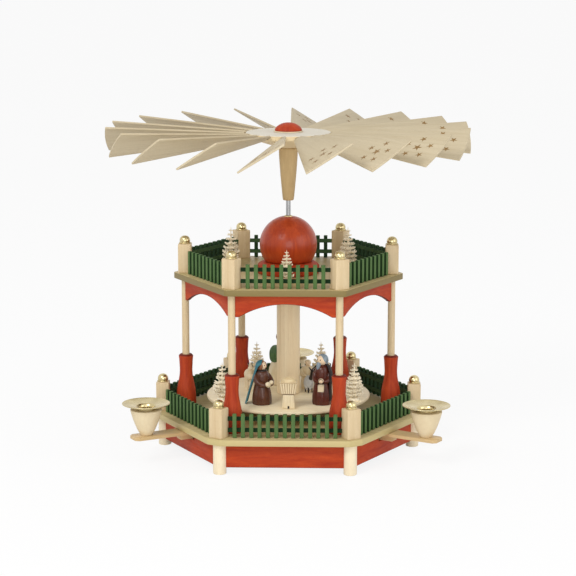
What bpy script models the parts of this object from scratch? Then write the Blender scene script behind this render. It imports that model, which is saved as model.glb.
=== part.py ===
"""Three-candle nativity carousel: two hexagonal decks, a turntable with turned figures and a
wooden vane rotor on one spindle. Metres, +Z up, origin under the spindle at the feet."""
import math

import bmesh
import bpy
from mathutils import Matrix, Vector

# Shared clearances and mesh settings
GAP = 0.0003
GLUE_DEPTH = 0.0008
CUT_OVERRUN = 0.001
WELD = 0.00001
SIDES = 6
SIDE_STEP = 360 / SIDES
HALF_STEP = SIDE_STEP / 2
ARM_ANGLES = (90, 210, 330)

# Decks and feet
DECK_THICKNESS = 0.0066
LOWER_DECK_RADIUS = 0.1535
LOWER_CORNER_CUT = 0.0088
UPPER_CORNER_CUT = 0.0016
DECK_CLEAR_HEIGHT = 0.148
FOOT_HEIGHT = 0.0328
FOOT_RADIUS = 0.007
FOOT_CHAMFER = 0.0008
FOOT_MARGIN = 0.0049

# Skirting boards between the feet
SKIRT_THICKNESS = 0.004
SKIRT_HEIGHT = 0.0258

# Posts and finials on both decks; a margin is the deck left free outside a post
LOWER_POST_MARGIN = 0.0033
UPPER_POST_MARGIN = 0.0049
POST_WIDTH = 0.016
POST_DEPTH = 0.0142
POST_HEIGHT = 0.0319
POST_CHAMFER = 0.0007
POST_COLUMN_CLEARANCE = 0.0074
FINIAL_RADIUS = 0.0067
FINIAL_HEIGHT = 0.0088
FINIAL_SHARES = ((0, 1), (0.42, 0.9), (0.68, 0.62), (0.74, 0.36), (1, 0.29), (1, 0), (0, 0))

# Picket fences between the posts
PICKET_WIDTH = 0.0035
PICKET_THICKNESS = 0.0033
PICKET_HEIGHT = 0.0251
PICKET_PITCH = 0.0088
PICKET_END_SPACE = 0.003
RAIL_HEIGHT = 0.0042
RAIL_THICKNESS = 0.0024
RAIL_LEVEL_SHARES = (0.29, 0.775)

# Columns, their turned bases and the arch boards
COLUMN_RADIUS = 0.004
COLUMN_BASE_RADIUS = 0.0112
COLUMN_BASE_HEIGHT = 0.0628
COLUMN_BASE_SHARES = (
    (0, 1), (0.46, 1), (0.705, 0.945), (0.66, 0.91), (0.625, 0.83), (0.57, 0.735), (0.575, 0.69),
    (0.75, 0.506), (0.905, 0.374), (0.975, 0.22), (1, 0.05), (0.97, 0), (0, 0),
)
ARCH_THICKNESS = 0.004
ARCH_HEIGHT = 0.0236
ARCH_RISE = 0.0138
ARCH_FOOT = 0.004
ARCH_SEGMENTS = 8

# Ball, its base and the bearings of the spindle
BALL_BASE_RADIUS = 0.034
BALL_BASE_HEIGHT = 0.0126
BALL_BASE_SHARES = ((0.8, 1), (0.93, 0.88), (1, 0.66), (1, 0.14), (0.97, 0))
BALL_RADIUS = 0.0313
BALL_SEAT_DROP = 0.0183
BALL_TOP_FLAT = 0.0052
BALL_SEGMENTS = 8
SPINDLE_RADIUS = 0.0025
SPINDLE_ROOM = 0.0015
SPINDLE_SHOWN = 0.0176
SPINDLE_POINT = 0.003
BUSH_RADIUS = 0.0044
BUSH_LENGTH = 0.008
BUSH_PROUD = 0.0006
CUP_BEARING_RADIUS = 0.007
CUP_BEARING_HEIGHT = 0.0052
CUP_BEARING_FLOOR = 0.0014
CUP_BEARING_LIP = 0.0012

# Turntable and centre column
TURNTABLE_CLEARANCE = 0.0119
TURNTABLE_LEVEL = 0.0199
TURNTABLE_THICKNESS = 0.0036
TURNTABLE_EDGE = 0.0006
BOSS_RADIUS = 0.014
CENTRE_COLUMN_RADIUS = 0.0127
CENTRE_COLUMN_TOP_GAP = 0.003

# Rotor: handle, hub, cap and blades
HANDLE_LENGTH = 0.0573
HANDLE_TOP_RADIUS = 0.0103
HANDLE_BOTTOM_RADIUS = 0.0061
HANDLE_TOP_SHARES = ((0, 1), (0.9, 1), (1, 0.97), (1, 0.9))
HANDLE_SOCKET_SHARE = 0.75
HUB_RADIUS = 0.046
HUB_HEIGHT = 0.0165
HUB_RIM = 0.0052
HUB_NECK_RADIUS = 0.0112
CAP_RADIUS = 0.01475
CAP_SEAT_RADIUS = 0.0155
CAP_SEAT_HEIGHT = 0.0011
CAP_HEIGHT = 0.0087
CAP_SHARES = ((0, 1), (0.38, 0.93), (0.7, 0.72), (0.92, 0.42), (1, 0.16), (0.97, 0), (0, 0))
BLADE_COUNT = 18
ROTOR_RADIUS = 0.1974
BLADE_WIDTH = 0.0552
BLADE_SHOULDER_WIDTH = 0.009
BLADE_SHOULDER_GAP = 0.0015
BLADE_THICKNESS = 0.002
TENON_WIDTH = 0.0036
TENON_LENGTH = 0.008
BLADE_PITCH = 31.4
BLADE_DROOP = 1.6
BLADE_PHASE = 3.7
BLADE_ARC_SEGMENTS = 4

# Candle arms with their guides, turned cups and brass drip pans
CUP_PLACE_RADIUS = 0.172
ARM_OVERHANG = 0.0162
ARM_LENGTH = 0.1157
ARM_WIDTH = 0.02
ARM_THICKNESS = 0.0036
ARM_CHAMFER = 0.0038
GUIDE_WALL = 0.0037
GUIDE_FLOOR = 0.0056
GUIDE_LENGTH = 0.033
GUIDE_TONGUE_WIDTH = 0.0105
GUIDE_TONGUE_REACH = 0.0175
CUP_TOP_RADIUS = 0.0169
CUP_HEIGHT = 0.0281
CUP_SHARES = ((0.97, 1), (1, 0.965), (0.93, 0.8), (0.8, 0.55), (0.6, 0.25), (0.42, 0.06), (0.37, 0))
PAN_RADIUS = 0.0256
PAN_RISE = 0.0062
PAN_WALL = 0.0008
PAN_BAND_RADIUS = 0.0118
PAN_BAND_HEIGHT = 0.0024
SOCKET_RADIUS = 0.0087
SOCKET_MOUTH_RADIUS = 0.0098
SOCKET_DEPTH = 0.012
SOCKET_ROOM = 0.0015

# Shaved trees: height, lowest branch radius and branch tiers
TREE_RADIUS = 0.0098
FRONT_TREE_RADIUS = 0.007
TREE_TRUNK_RADIUS = 0.0016
TREE_BASE_RADIUS = 0.0062
TREE_BASE_HEIGHT = 0.0035
TREE_TIERS = 4
TREE_FIRST_TIER_SHARE = 0.9
TREE_LAST_TIER_SHARE = 0.4
TREE_TIER_RISE_SHARE = 0.25
TREE_BRANCH_ROOT_SHARE = 0.25
UPPER_TREE_HEIGHT = 0.046
FRONT_TREE_HEIGHT = 0.036
TURNTABLE_TREE_HEIGHT = 0.0435
UPPER_TREE_RING_SHARE = 0.664
FRONT_TREE_RING_SHARE = 0.51
TURNTABLE_TREE_RING_SHARE = 0.89
TURNTABLE_TREE_ANGLES = (64, 117, 208, 335)
BACK_TREE_ANGLES = (30, 150)
FRONT_TREE_ANGLE = 270

# Figures on the turntable: sizes, and places as shares of the turntable radius
MOTHER_HEIGHT = 0.047
MOTHER_RADIUS = 0.011
MOTHER_RING_SHARE = 0.657
MOTHER_ANGLE = 242.8
MOTHER_TURN = 88
VEIL_WIDTH = 0.0115
VEIL_THICKNESS = 0.001
VEIL_TRAIL = 0.018
VEIL_ARC_ANGLES = (-15, 15, 45, 75)
FATHER_HEIGHT = 0.055
FATHER_RADIUS = 0.0118
FATHER_RING_SHARE = 0.708
FATHER_ANGLE = 306.6
FATHER_TURN = -5
LANTERN_WIDTH = 0.0062
LANTERN_HEIGHT = 0.0072
ANGEL_HEIGHT = 0.059
ANGEL_RADIUS = 0.015
ANGEL_RING_SHARE = 0.5095
ANGEL_ANGLE = 100.7
ANGEL_TURN = 180
WING_SPAN = 0.028
WING_HEIGHT = 0.0205
WING_THICKNESS = 0.0016
WING_SWEEP = 175
WING_LOW_SHARE = 0.48
WING_LEVEL_SHARE = 0.546
WING_SEGMENTS = 8
SHEPHERD_HEIGHT = 0.031
SHEPHERD_RADIUS = 0.0088
SHEPHERD_RING_SHARE = 0.365
SHEPHERD_ANGLE = 49.7
LAMB_LENGTH = 0.015
LAMB_HEIGHT = 0.015
LAMB_HEAD_LEVEL = 0.0215
LAMB_STRETCH_SHARES = (1.35, 1, 1)
LAMB_RING_SHARE = 0.2505
LAMB_ANGLE = 2.5
LAMB_TURN = -60
DONKEY_LENGTH = 0.026
DONKEY_BODY_RADIUS = 0.0056
DONKEY_HEIGHT = 0.032
DONKEY_RING_SHARE = 0.52
DONKEY_ANGLE = 160
DONKEY_TURN = 100
DONKEY_BACK_SHARE = 0.68
DONKEY_HEAD_SHARE = 0.86
DONKEY_NECK_SHARES = (-0.4, -0.75)
DONKEY_HEAD_SHARES = (-0.6, -1.15)
DONKEY_EAR_SHARES = (-0.62, -0.5)
DONKEY_HEAD_WIDTH_SHARE = 0.42
DONKEY_EAR_SPREAD_SHARE = 0.45
MANGER_TOP_WIDTH = 0.0187
MANGER_FLOOR_WIDTH = 0.015
MANGER_NECK_WIDTH = 0.0116
MANGER_FOOT_WIDTH = 0.014
MANGER_DEPTH = 0.0158
MANGER_FOOT_HEIGHT = 0.0158
MANGER_TROUGH_HEIGHT = 0.0128
MANGER_NOTCH = 0.0016
MANGER_LEDGE = 0.0006
MANGER_WALL = 0.0014
MANGER_STRAW_HEIGHT = 0.0034
MANGER_RING_SHARE = 0.779
MANGER_ANGLE = 272

# Robe profiles as shares of the robe radius and the figure height, and other figure shares
ROBE_SHARES = (
    (0, 0.8), (0.35, 0.785), (0.64, 0.72), (0.72, 0.62), (0.66, 0.47), (0.98, 0.12), (0.97, 0), (0, 0),
)
HEAD_RADIUS_SHARE = 0.112
HEAD_LEVEL_SHARE = 0.888
SLEEVE_RADIUS_SHARE = 0.27
SLEEVE_SHARES = (
    (-0.62, 0.05, 0.64), (-0.98, -0.35, 0.56), (0, -1.16, 0.49), (0.98, -0.35, 0.56), (0.62, 0.05, 0.64),
)
HANDS_PLACE_SHARES = (0, -1.3, 0.5)
HANDS_RADIUS_SHARE = 0.32

# Levels that follow from the sizes above
LOWER_DECK_BASE = FOOT_HEIGHT + GAP
LOWER_DECK_TOP = LOWER_DECK_BASE + DECK_THICKNESS
UPPER_DECK_BASE = LOWER_DECK_TOP + DECK_CLEAR_HEIGHT
UPPER_DECK_TOP = UPPER_DECK_BASE + DECK_THICKNESS
CUT_SHARE = math.cos(math.radians(SIDE_STEP))
LOWER_DECK_REACH = LOWER_DECK_RADIUS - LOWER_CORNER_CUT * CUT_SHARE
FOOT_RING = LOWER_DECK_REACH - FOOT_MARGIN - FOOT_RADIUS
LOWER_POST_RING = LOWER_DECK_REACH - LOWER_POST_MARGIN - POST_DEPTH / 2
COLUMN_RING = LOWER_POST_RING - POST_DEPTH / 2 - POST_COLUMN_CLEARANCE - COLUMN_BASE_RADIUS
UPPER_POST_RING = COLUMN_RING
UPPER_DECK_REACH = UPPER_POST_RING + POST_DEPTH / 2 + UPPER_POST_MARGIN
UPPER_DECK_RADIUS = UPPER_DECK_REACH + UPPER_CORNER_CUT * CUT_SHARE
TURNTABLE_RADIUS = COLUMN_RING - COLUMN_BASE_RADIUS - TURNTABLE_CLEARANCE
TURNTABLE_TOP = LOWER_DECK_TOP + TURNTABLE_LEVEL
FIGURE_BASE = TURNTABLE_TOP + GAP
BALL_BASE_LEVEL = UPPER_DECK_TOP + GAP
BALL_SEAT = BALL_BASE_LEVEL + BALL_BASE_HEIGHT + GAP
BALL_CENTRE = BALL_SEAT + BALL_SEAT_DROP
BALL_TOP = BALL_CENTRE + math.sqrt(BALL_RADIUS**2 - BALL_TOP_FLAT**2)
SPINDLE_BORE = SPINDLE_RADIUS + SPINDLE_ROOM
HANDLE_BASE = BALL_TOP + SPINDLE_SHOWN
HUB_BASE = HANDLE_BASE + HANDLE_LENGTH + GAP
HUB_TOP = HUB_BASE + HUB_HEIGHT
BLADE_LEVEL = HUB_TOP - HUB_RIM / 2
ARM_TOP = LOWER_DECK_BASE - GAP
GUIDE_TOP = LOWER_DECK_BASE + GLUE_DEPTH
SKIRT_TOP = LOWER_DECK_BASE - GAP
GUIDE_FLOOR_TOP = ARM_TOP - ARM_THICKNESS - GAP
GUIDE_BASE = GUIDE_FLOOR_TOP - GUIDE_FLOOR
SKIRT_APOTHEM = FOOT_RING * math.cos(math.radians(HALF_STEP))
GUIDE_OUTER = SKIRT_APOTHEM - SKIRT_THICKNESS / 2 - GAP
CUP_BORE_RADIUS = SOCKET_RADIUS + PAN_WALL + GAP
CUP_BORE_DEPTH = SOCKET_DEPTH + SOCKET_ROOM

# Finishes as linear colour, roughness and metallic
NATURAL_WOOD = ((0.73, 0.56, 0.34), 0.55, 0)
PALE_WOOD = ((0.78, 0.66, 0.47), 0.6, 0)
DECK_WOOD = ((0.45, 0.36, 0.18), 0.55, 0)
RED_STAIN = ((0.42, 0.055, 0.02), 0.35, 0)
GREEN_STAIN = ((0.05, 0.17, 0.045), 0.5, 0)
BRASS = ((0.78, 0.6, 0.25), 0.25, 1)
STEEL = ((0.6, 0.6, 0.6), 0.3, 1)
BROWN_ROBE = ((0.11, 0.028, 0.018), 0.35, 0)
BLUE_VEIL = ((0.04, 0.16, 0.21), 0.45, 0)
CREAM_DRESS = ((0.72, 0.6, 0.4), 0.5, 0)
GREEN_WING = ((0.06, 0.12, 0.04), 0.5, 0)
WOOL_WHITE = ((0.75, 0.73, 0.66), 0.7, 0)


def clear_scene():
    for old in list(bpy.data.objects):
        bpy.data.objects.remove(old, do_unlink=True)


def new_collection(name):
    collection = bpy.data.collections.new(name)
    bpy.context.scene.collection.children.link(collection)
    return collection


clear_scene()
PARTS = new_collection("nativity_candle_holder")
CUTTERS = new_collection("cutters")


def mesh_from_bmesh(name, bm):
    mesh = bpy.data.meshes.new(name)
    bm.to_mesh(mesh)
    bm.free()
    return mesh


def add_guide(name, data):
    """An object that only shapes others: drawn as a wire and never rendered."""
    guide = bpy.data.objects.new(name, data)
    guide.display_type = "WIRE"
    guide.hide_render = True
    CUTTERS.objects.link(guide)
    return guide


def settled_mesh(guide):
    """Turn a guide with its modifiers into a plain welded mesh and remove the guide."""
    graph = bpy.context.evaluated_depsgraph_get()
    mesh = bpy.data.meshes.new_from_object(guide.evaluated_get(graph))
    mesh.transform(guide.matrix_world)
    bpy.data.objects.remove(guide, do_unlink=True)
    bm = bmesh.new()
    bm.from_mesh(mesh)
    bmesh.ops.remove_doubles(bm, verts=bm.verts, dist=WELD)
    bm.to_mesh(mesh)
    bm.free()
    return mesh


def turned_mesh(name, profile, steps, closed=False):
    """Spin (radius, height) points about Z; the outer side runs from top to bottom."""
    bm = bmesh.new()
    corners = [bm.verts.new((radius, 0, height)) for radius, height in profile]
    for start, end in zip(corners, corners[1:]):
        bm.edges.new((start, end))
    if closed:
        bm.edges.new((corners[-1], corners[0]))
    guide = add_guide(name + "_profile", mesh_from_bmesh(name, bm))
    screw = guide.modifiers.new("Turn", "SCREW")
    screw.steps = steps
    screw.render_steps = steps
    screw.use_merge_vertices = True
    screw.merge_threshold = WELD
    return settled_mesh(guide)


def scaled_profile(shares, radius, height, base=0):
    return [(radius * across, base + height * up) for across, up in shares]


def flat_mesh(name, outlines, thickness):
    """A plate in the XY plane, centred on it, cut to closed outlines; inner ones are holes."""
    curve = bpy.data.curves.new(name, "CURVE")
    curve.dimensions = "2D"
    curve.fill_mode = "BOTH"
    curve.extrude = thickness / 2
    for outline in outlines:
        spline = curve.splines.new("POLY")
        spline.points.add(len(outline) - 1)
        for point, place in zip(spline.points, outline):
            point.co = (place[0], place[1], 0, 1)
        spline.use_cyclic_u = True
    return settled_mesh(add_guide(name + "_outline", curve))


def box_mesh(name, low, high):
    """A rectangular block between two opposite corners."""
    size = Vector(high) - Vector(low)
    centre = (Vector(high) + Vector(low)) / 2
    bm = bmesh.new()
    bmesh.ops.create_cube(bm, size=1, matrix=Matrix.Translation(centre) @ Matrix.Diagonal((*size, 1)))
    return mesh_from_bmesh(name, bm)


def ball_mesh(name, centre, radius, steps, rings, stretch=(1, 1, 1)):
    place = Matrix.Translation(centre) @ Matrix.Diagonal((*stretch, 1))
    bm = bmesh.new()
    bmesh.ops.create_uvsphere(bm, u_segments=steps, v_segments=rings, radius=radius, matrix=place)
    return mesh_from_bmesh(name, bm)


def tube_mesh(name, points, radius):
    """A round rod along points, with its ends closed."""
    curve = bpy.data.curves.new(name, "CURVE")
    curve.dimensions = "3D"
    curve.bevel_depth = radius
    curve.bevel_resolution = 1
    curve.use_fill_caps = True
    spline = curve.splines.new("POLY")
    spline.points.add(len(points) - 1)
    for point, place in zip(spline.points, points):
        point.co = (*place, 1)
    return settled_mesh(add_guide(name + "_route", curve))


def combined_mesh(name, meshes, operation="UNION"):
    """Join meshes into one closed solid, or cut the later ones out of the first."""
    guide = add_guide(name + "_blank", meshes[0])
    others = [add_guide(name + "_other", mesh) for mesh in meshes[1:]]
    for other in others:
        join = guide.modifiers.new(operation.title(), "BOOLEAN")
        join.operation = operation
        join.solver = "EXACT"
        join.object = other
    mesh = settled_mesh(guide)
    for other in others:
        bpy.data.objects.remove(other, do_unlink=True)
    return mesh


def placed_meshes(mesh, places):
    """Copies of one mesh, each moved to its place."""
    copies = []
    for place in places:
        copy = mesh.copy()
        copy.transform(place)
        copies.append(copy)
    return copies


def repeated_mesh(name, mesh, places):
    """Copies of one mesh at several places, to be joined to or cut from another mesh."""
    bm = bmesh.new()
    for copy in placed_meshes(mesh, places):
        bm.from_mesh(copy)
    return mesh_from_bmesh(name, bm)


def turn_z(angle):
    return Matrix.Rotation(math.radians(angle), 4, "Z")


def polar(radius, angle, height=0):
    turn = math.radians(angle)
    return Vector((radius * math.cos(turn), radius * math.sin(turn), height))


def ring_places(radius, angles, height=0):
    """Places on a ring, each turned so that its local X points outwards."""
    return [Matrix.Translation(polar(radius, angle, height)) @ turn_z(angle) for angle in angles]


def corner_angles():
    return [side * SIDE_STEP for side in range(SIDES)]


def side_angles():
    return [side * SIDE_STEP + HALF_STEP for side in range(SIDES)]


def add_part(name, mesh, finish, parent=None, location=(0, 0, 0), turn=0, smooth=None, place=None):
    """One named sub-part with a material of its own, put down by location and turn or by a matrix."""
    colour, roughness, metallic = finish
    material = bpy.data.materials.new(name + "_finish")
    material.use_nodes = True
    shader = material.node_tree.nodes["Principled BSDF"]
    shader.inputs["Base Color"].default_value = (*colour, 1)
    shader.inputs["Roughness"].default_value = roughness
    shader.inputs["Metallic"].default_value = metallic
    part = bpy.data.objects.new(name, mesh)
    mesh.materials.clear()
    mesh.materials.append(material)
    if smooth:
        mesh.shade_smooth()
        mesh.set_sharp_from_angle(angle=math.radians(smooth))
    PARTS.objects.link(part)
    part.parent = parent
    part.matrix_basis = place or Matrix.Translation(location) @ turn_z(turn)
    return part


def add_axis(name, location=(0, 0, 0), turn=0):
    """An empty that carries the pieces that move together."""
    axis = bpy.data.objects.new(name, None)
    axis.location = location
    axis.rotation_euler = (0, 0, math.radians(turn))
    PARTS.objects.link(axis)
    return axis


def hexagon_outline(radius, cut):
    """Deck outline with each corner cut off."""
    outline = []
    for angle in corner_angles():
        corner = polar(radius, angle)
        for neighbour in (polar(radius, angle - SIDE_STEP), polar(radius, angle + SIDE_STEP)):
            outline.append(corner + (neighbour - corner).normalized() * cut)
    return outline


def circle_outline(radius, steps):
    return [polar(radius, step * 360 / steps) for step in range(steps)]


def hexagon_ring(apothem, thickness, height, base, slack=0):
    """Six boards joined into a hexagonal frame; slack makes the cutter for its mortises."""
    spread = math.cos(math.radians(HALF_STEP))
    outlines = []
    for half in (thickness / 2 + slack, -thickness / 2 - slack):
        outlines.append([polar((apothem + half) / spread, angle) for angle in corner_angles()])
    mesh = flat_mesh("ring", outlines, height + 2 * slack)
    mesh.transform(Matrix.Translation((0, 0, base + height / 2)))
    return mesh


def deck_mesh(radius, cut, base, bore=None):
    outlines = [hexagon_outline(radius, cut)]
    if bore:
        outlines.append(circle_outline(bore, 16))
    mesh = flat_mesh("deck", outlines, DECK_THICKNESS)
    mesh.transform(Matrix.Translation((0, 0, base + DECK_THICKNESS / 2)))
    return mesh


def skirting_ring(slack=0):
    return hexagon_ring(SKIRT_APOTHEM, SKIRT_THICKNESS, SKIRT_HEIGHT, SKIRT_TOP - SKIRT_HEIGHT, slack)


def feet_mesh():
    """Round dowels under the lower deck, slotted for the skirting, chamfered where they stand."""
    top = LOWER_DECK_BASE + GLUE_DEPTH
    profile = [
        (0, top), (FOOT_RADIUS, top), (FOOT_RADIUS, FOOT_CHAMFER), (FOOT_RADIUS - FOOT_CHAMFER, 0), (0, 0),
    ]
    foot = turned_mesh("foot", profile, 12)
    feet = repeated_mesh("feet", foot, ring_places(FOOT_RING, corner_angles()))
    return combined_mesh("slotted_feet", [feet, skirting_ring(GAP)], "DIFFERENCE")


def build_skirting():
    """Frame of boards let into the feet; notches let the candle arms and their guides pass."""
    half = ARM_WIDTH / 2 + 2 * GAP
    inner = SKIRT_APOTHEM - SKIRT_THICKNESS
    outer = SKIRT_APOTHEM + SKIRT_THICKNESS
    notch = box_mesh("notch", (inner, -half, GUIDE_BASE - GAP), (outer, half, SKIRT_TOP + CUT_OVERRUN))
    notches = repeated_mesh("notches", notch, [turn_z(angle) for angle in ARM_ANGLES])
    skirting = combined_mesh("skirting", [skirting_ring(), notches], "DIFFERENCE")
    add_part("skirting", skirting, RED_STAIN)


def post_mesh():
    """A rectangular post whose upright and top edges are lightly chamfered."""
    low = (-POST_DEPTH / 2, -POST_WIDTH / 2, -GLUE_DEPTH - POST_CHAMFER)
    guide = add_guide("post", box_mesh("post", low, (POST_DEPTH / 2, POST_WIDTH / 2, POST_HEIGHT)))
    bevel = guide.modifiers.new("Chamfer", "BEVEL")
    bevel.width = POST_CHAMFER
    bevel.segments = 1
    return settled_mesh(guide)


def rail_rings(ring, deck_top, slack=0):
    """The two rails of a fence, running on through the posts."""
    apothem = ring * math.cos(math.radians(HALF_STEP)) - RAIL_THICKNESS / 2
    rings = []
    for share in RAIL_LEVEL_SHARES:
        base = deck_top + GAP + PICKET_HEIGHT * share - RAIL_HEIGHT / 2
        rings.append(hexagon_ring(apothem, RAIL_THICKNESS, RAIL_HEIGHT, base, slack))
    return rings


def posts_and_finials(ring, deck_top):
    """Posts glued on a deck's corners with mortises for the rails, and their brass finials."""
    posts = repeated_mesh("posts", post_mesh(), ring_places(ring, corner_angles(), deck_top))
    posts = combined_mesh("mortised", [posts] + rail_rings(ring, deck_top, GAP), "DIFFERENCE")
    finial = turned_mesh("finial", scaled_profile(FINIAL_SHARES, FINIAL_RADIUS, FINIAL_HEIGHT), 8)
    seat = deck_top + POST_HEIGHT - GLUE_DEPTH
    return [posts, repeated_mesh("finials", finial, ring_places(ring, corner_angles(), seat))]


def build_fence(name, ring, deck_top):
    """One hexagonal picket fence; the pickets stand outside its two rails."""
    clear = ring - POST_WIDTH - POST_DEPTH * math.sin(math.radians(HALF_STEP))
    count = 1 + int((clear - 2 * PICKET_END_SPACE - PICKET_WIDTH) / PICKET_PITCH)
    apothem = ring * math.cos(math.radians(HALF_STEP))
    base = deck_top + GAP
    low = (apothem - GLUE_DEPTH, -PICKET_WIDTH / 2, base)
    high = (apothem + PICKET_THICKNESS, PICKET_WIDTH / 2, base + PICKET_HEIGHT)
    picket = box_mesh("picket", low, high)
    places = []
    for angle in side_angles():
        for number in range(count):
            along = (number - (count - 1) / 2) * PICKET_PITCH
            places.append(turn_z(angle) @ Matrix.Translation((0, along, 0)))
    pickets = repeated_mesh("pickets", picket, places)
    fence = combined_mesh("fence", rail_rings(ring, deck_top) + [pickets])
    add_part(name, fence, GREEN_STAIN)


def build_lower_deck():
    """Lower deck with everything that is glued to it: feet, posts and the arm guides."""
    guides = placed_meshes(guide_mesh(), [turn_z(angle) for angle in ARM_ANGLES])
    deck = deck_mesh(LOWER_DECK_RADIUS, LOWER_CORNER_CUT, LOWER_DECK_BASE)
    pieces = [deck] + guides + [feet_mesh()] + posts_and_finials(LOWER_POST_RING, LOWER_DECK_TOP)
    add_part("lower_deck", combined_mesh("lower_deck", pieces), DECK_WOOD)


def build_upper_deck():
    """Upper deck with its posts and three shaved trees."""
    level = UPPER_DECK_TOP - GLUE_DEPTH
    ring = UPPER_POST_RING * UPPER_TREE_RING_SHARE
    back = repeated_mesh("back_trees", tree_mesh(UPPER_TREE_HEIGHT), ring_places(ring, BACK_TREE_ANGLES, level))
    front = tree_mesh(FRONT_TREE_HEIGHT, FRONT_TREE_RADIUS)
    front.transform(Matrix.Translation(polar(UPPER_POST_RING * FRONT_TREE_RING_SHARE, FRONT_TREE_ANGLE, level)))
    deck = deck_mesh(UPPER_DECK_RADIUS, UPPER_CORNER_CUT, UPPER_DECK_BASE, SPINDLE_BORE)
    pieces = [deck, back, front] + posts_and_finials(UPPER_POST_RING, UPPER_DECK_TOP)
    add_part("upper_deck", combined_mesh("upper_deck", pieces), DECK_WOOD)


def build_column_bases():
    """Turned bases, bored through for the columns."""
    bore = COLUMN_RADIUS + GAP
    shares = COLUMN_BASE_SHARES[1:-1]
    profile = scaled_profile(shares, COLUMN_BASE_RADIUS, COLUMN_BASE_HEIGHT)
    profile = [(bore, COLUMN_BASE_HEIGHT)] + profile + [(bore, 0)]
    base = turned_mesh("column_base", profile, 10, closed=True)
    for number, angle in enumerate(corner_angles(), start=1):
        place = polar(COLUMN_RING, angle, LOWER_DECK_TOP + GAP)
        add_part(f"column_base_{number}", base.copy(), RED_STAIN, location=place, smooth=50)


def arch_outline():
    """Board under the upper deck, hollowed by one flat arc; X along the side, Y up."""
    half = COLUMN_RING / 2
    chord = half - COLUMN_RADIUS - ARCH_FOOT
    radius = (chord**2 + ARCH_RISE**2) / (2 * ARCH_RISE)
    spread = math.asin(chord / radius)
    centre = ARCH_RISE - radius - ARCH_HEIGHT
    outline = [(-half, 0), (-half, -ARCH_HEIGHT)]
    for step in range(ARCH_SEGMENTS + 1):
        lean = spread * (2 * step / ARCH_SEGMENTS - 1)
        outline.append((radius * math.sin(lean), centre + radius * math.cos(lean)))
    return outline + [(half, -ARCH_HEIGHT), (half, 0)]


def build_arcade():
    """Six columns with the arch boards glued between them, under the upper deck."""
    top = UPPER_DECK_BASE - GAP
    foot = LOWER_DECK_TOP + GAP
    dowel = turned_mesh("column", [(0, top), (COLUMN_RADIUS, top), (COLUMN_RADIUS, foot), (0, foot)], 10)
    columns = repeated_mesh("columns", dowel, ring_places(COLUMN_RING, corner_angles()))
    arch = flat_mesh("arch", [arch_outline()], ARCH_THICKNESS)
    arch.transform(turn_z(90) @ Matrix.Rotation(math.radians(90), 4, "X"))
    apothem = COLUMN_RING * math.cos(math.radians(HALF_STEP))
    arches = repeated_mesh("arches", arch, ring_places(apothem, side_angles(), top - GLUE_DEPTH))
    add_part("arcade", combined_mesh("arcade", [columns, arches]), RED_STAIN, smooth=40)


def build_ball():
    """Turned ball on its round base, both bored for the spindle, with a brass bush on top."""
    base = scaled_profile(BALL_BASE_SHARES, BALL_BASE_RADIUS, BALL_BASE_HEIGHT)
    base = [(SPINDLE_BORE, BALL_BASE_HEIGHT)] + base + [(SPINDLE_BORE, 0)]
    mesh = turned_mesh("ball_base", base, 24, closed=True)
    add_part("ball_base", mesh, RED_STAIN, location=(0, 0, BALL_BASE_LEVEL), smooth=50)
    start = math.asin(BALL_TOP_FLAT / BALL_RADIUS)
    end = math.acos(-BALL_SEAT_DROP / BALL_RADIUS)
    outer = []
    for step in range(BALL_SEGMENTS + 1):
        lean = start + (end - start) * step / BALL_SEGMENTS
        outer.append((BALL_RADIUS * math.sin(lean), BALL_RADIUS * math.cos(lean)))
    top = BALL_TOP - BALL_CENTRE
    seat = top - BUSH_LENGTH - GAP
    bush_bore = BUSH_RADIUS + GAP
    bore = [(SPINDLE_BORE, -BALL_SEAT_DROP), (SPINDLE_BORE, seat), (bush_bore, seat), (bush_bore, top)]
    ball = turned_mesh("ball", outer + bore, 20, closed=True)
    add_part("ball", ball, RED_STAIN, location=(0, 0, BALL_CENTRE), smooth=50)
    inner = SPINDLE_RADIUS + GAP
    top = BALL_TOP + BUSH_PROUD
    foot = BALL_TOP - BUSH_LENGTH
    bush = [(inner, top), (BUSH_RADIUS, top), (BUSH_RADIUS, foot), (inner, foot)]
    add_part("spindle_bush", turned_mesh("bush", bush, 12, closed=True), BRASS, smooth=40)


def build_bearing_cup():
    """Small cup on the lower deck that the spindle's point turns in."""
    profile = [
        (0, CUP_BEARING_FLOOR), (SPINDLE_RADIUS + SPINDLE_ROOM, CUP_BEARING_HEIGHT),
        (CUP_BEARING_RADIUS - CUP_BEARING_LIP, CUP_BEARING_HEIGHT), (CUP_BEARING_RADIUS, CUP_BEARING_FLOOR),
        (CUP_BEARING_RADIUS, 0), (0, 0),
    ]
    mesh = turned_mesh("bearing_cup", profile, 12)
    add_part("bearing_cup", mesh, BRASS, location=(0, 0, LOWER_DECK_TOP + GAP), smooth=40)


def tree_mesh(height, radius=TREE_RADIUS):
    """Shaved tree: thin trunk on a small foot, with tiers of drooping branches."""
    profile = [(0, height), (TREE_TRUNK_RADIUS / 2, height * (1 - 1 / (2 * TREE_TIERS)))]
    crown = height - 2 * TREE_BASE_HEIGHT
    for tier in range(TREE_TIERS):
        spread = radius * (tier + 1) / TREE_TIERS
        level = height - crown * (tier + TREE_FIRST_TIER_SHARE) / (TREE_TIERS + TREE_LAST_TIER_SHARE)
        root = TREE_TRUNK_RADIUS + spread * TREE_BRANCH_ROOT_SHARE
        profile += [(spread, level), (root, level - TREE_TIER_RISE_SHARE * crown / TREE_TIERS)]
    profile += [
        (TREE_TRUNK_RADIUS, TREE_BASE_HEIGHT), (TREE_BASE_RADIUS, TREE_BASE_HEIGHT), (TREE_BASE_RADIUS, 0),
        (0, 0),
    ]
    return turned_mesh("tree", profile, 7)


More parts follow.
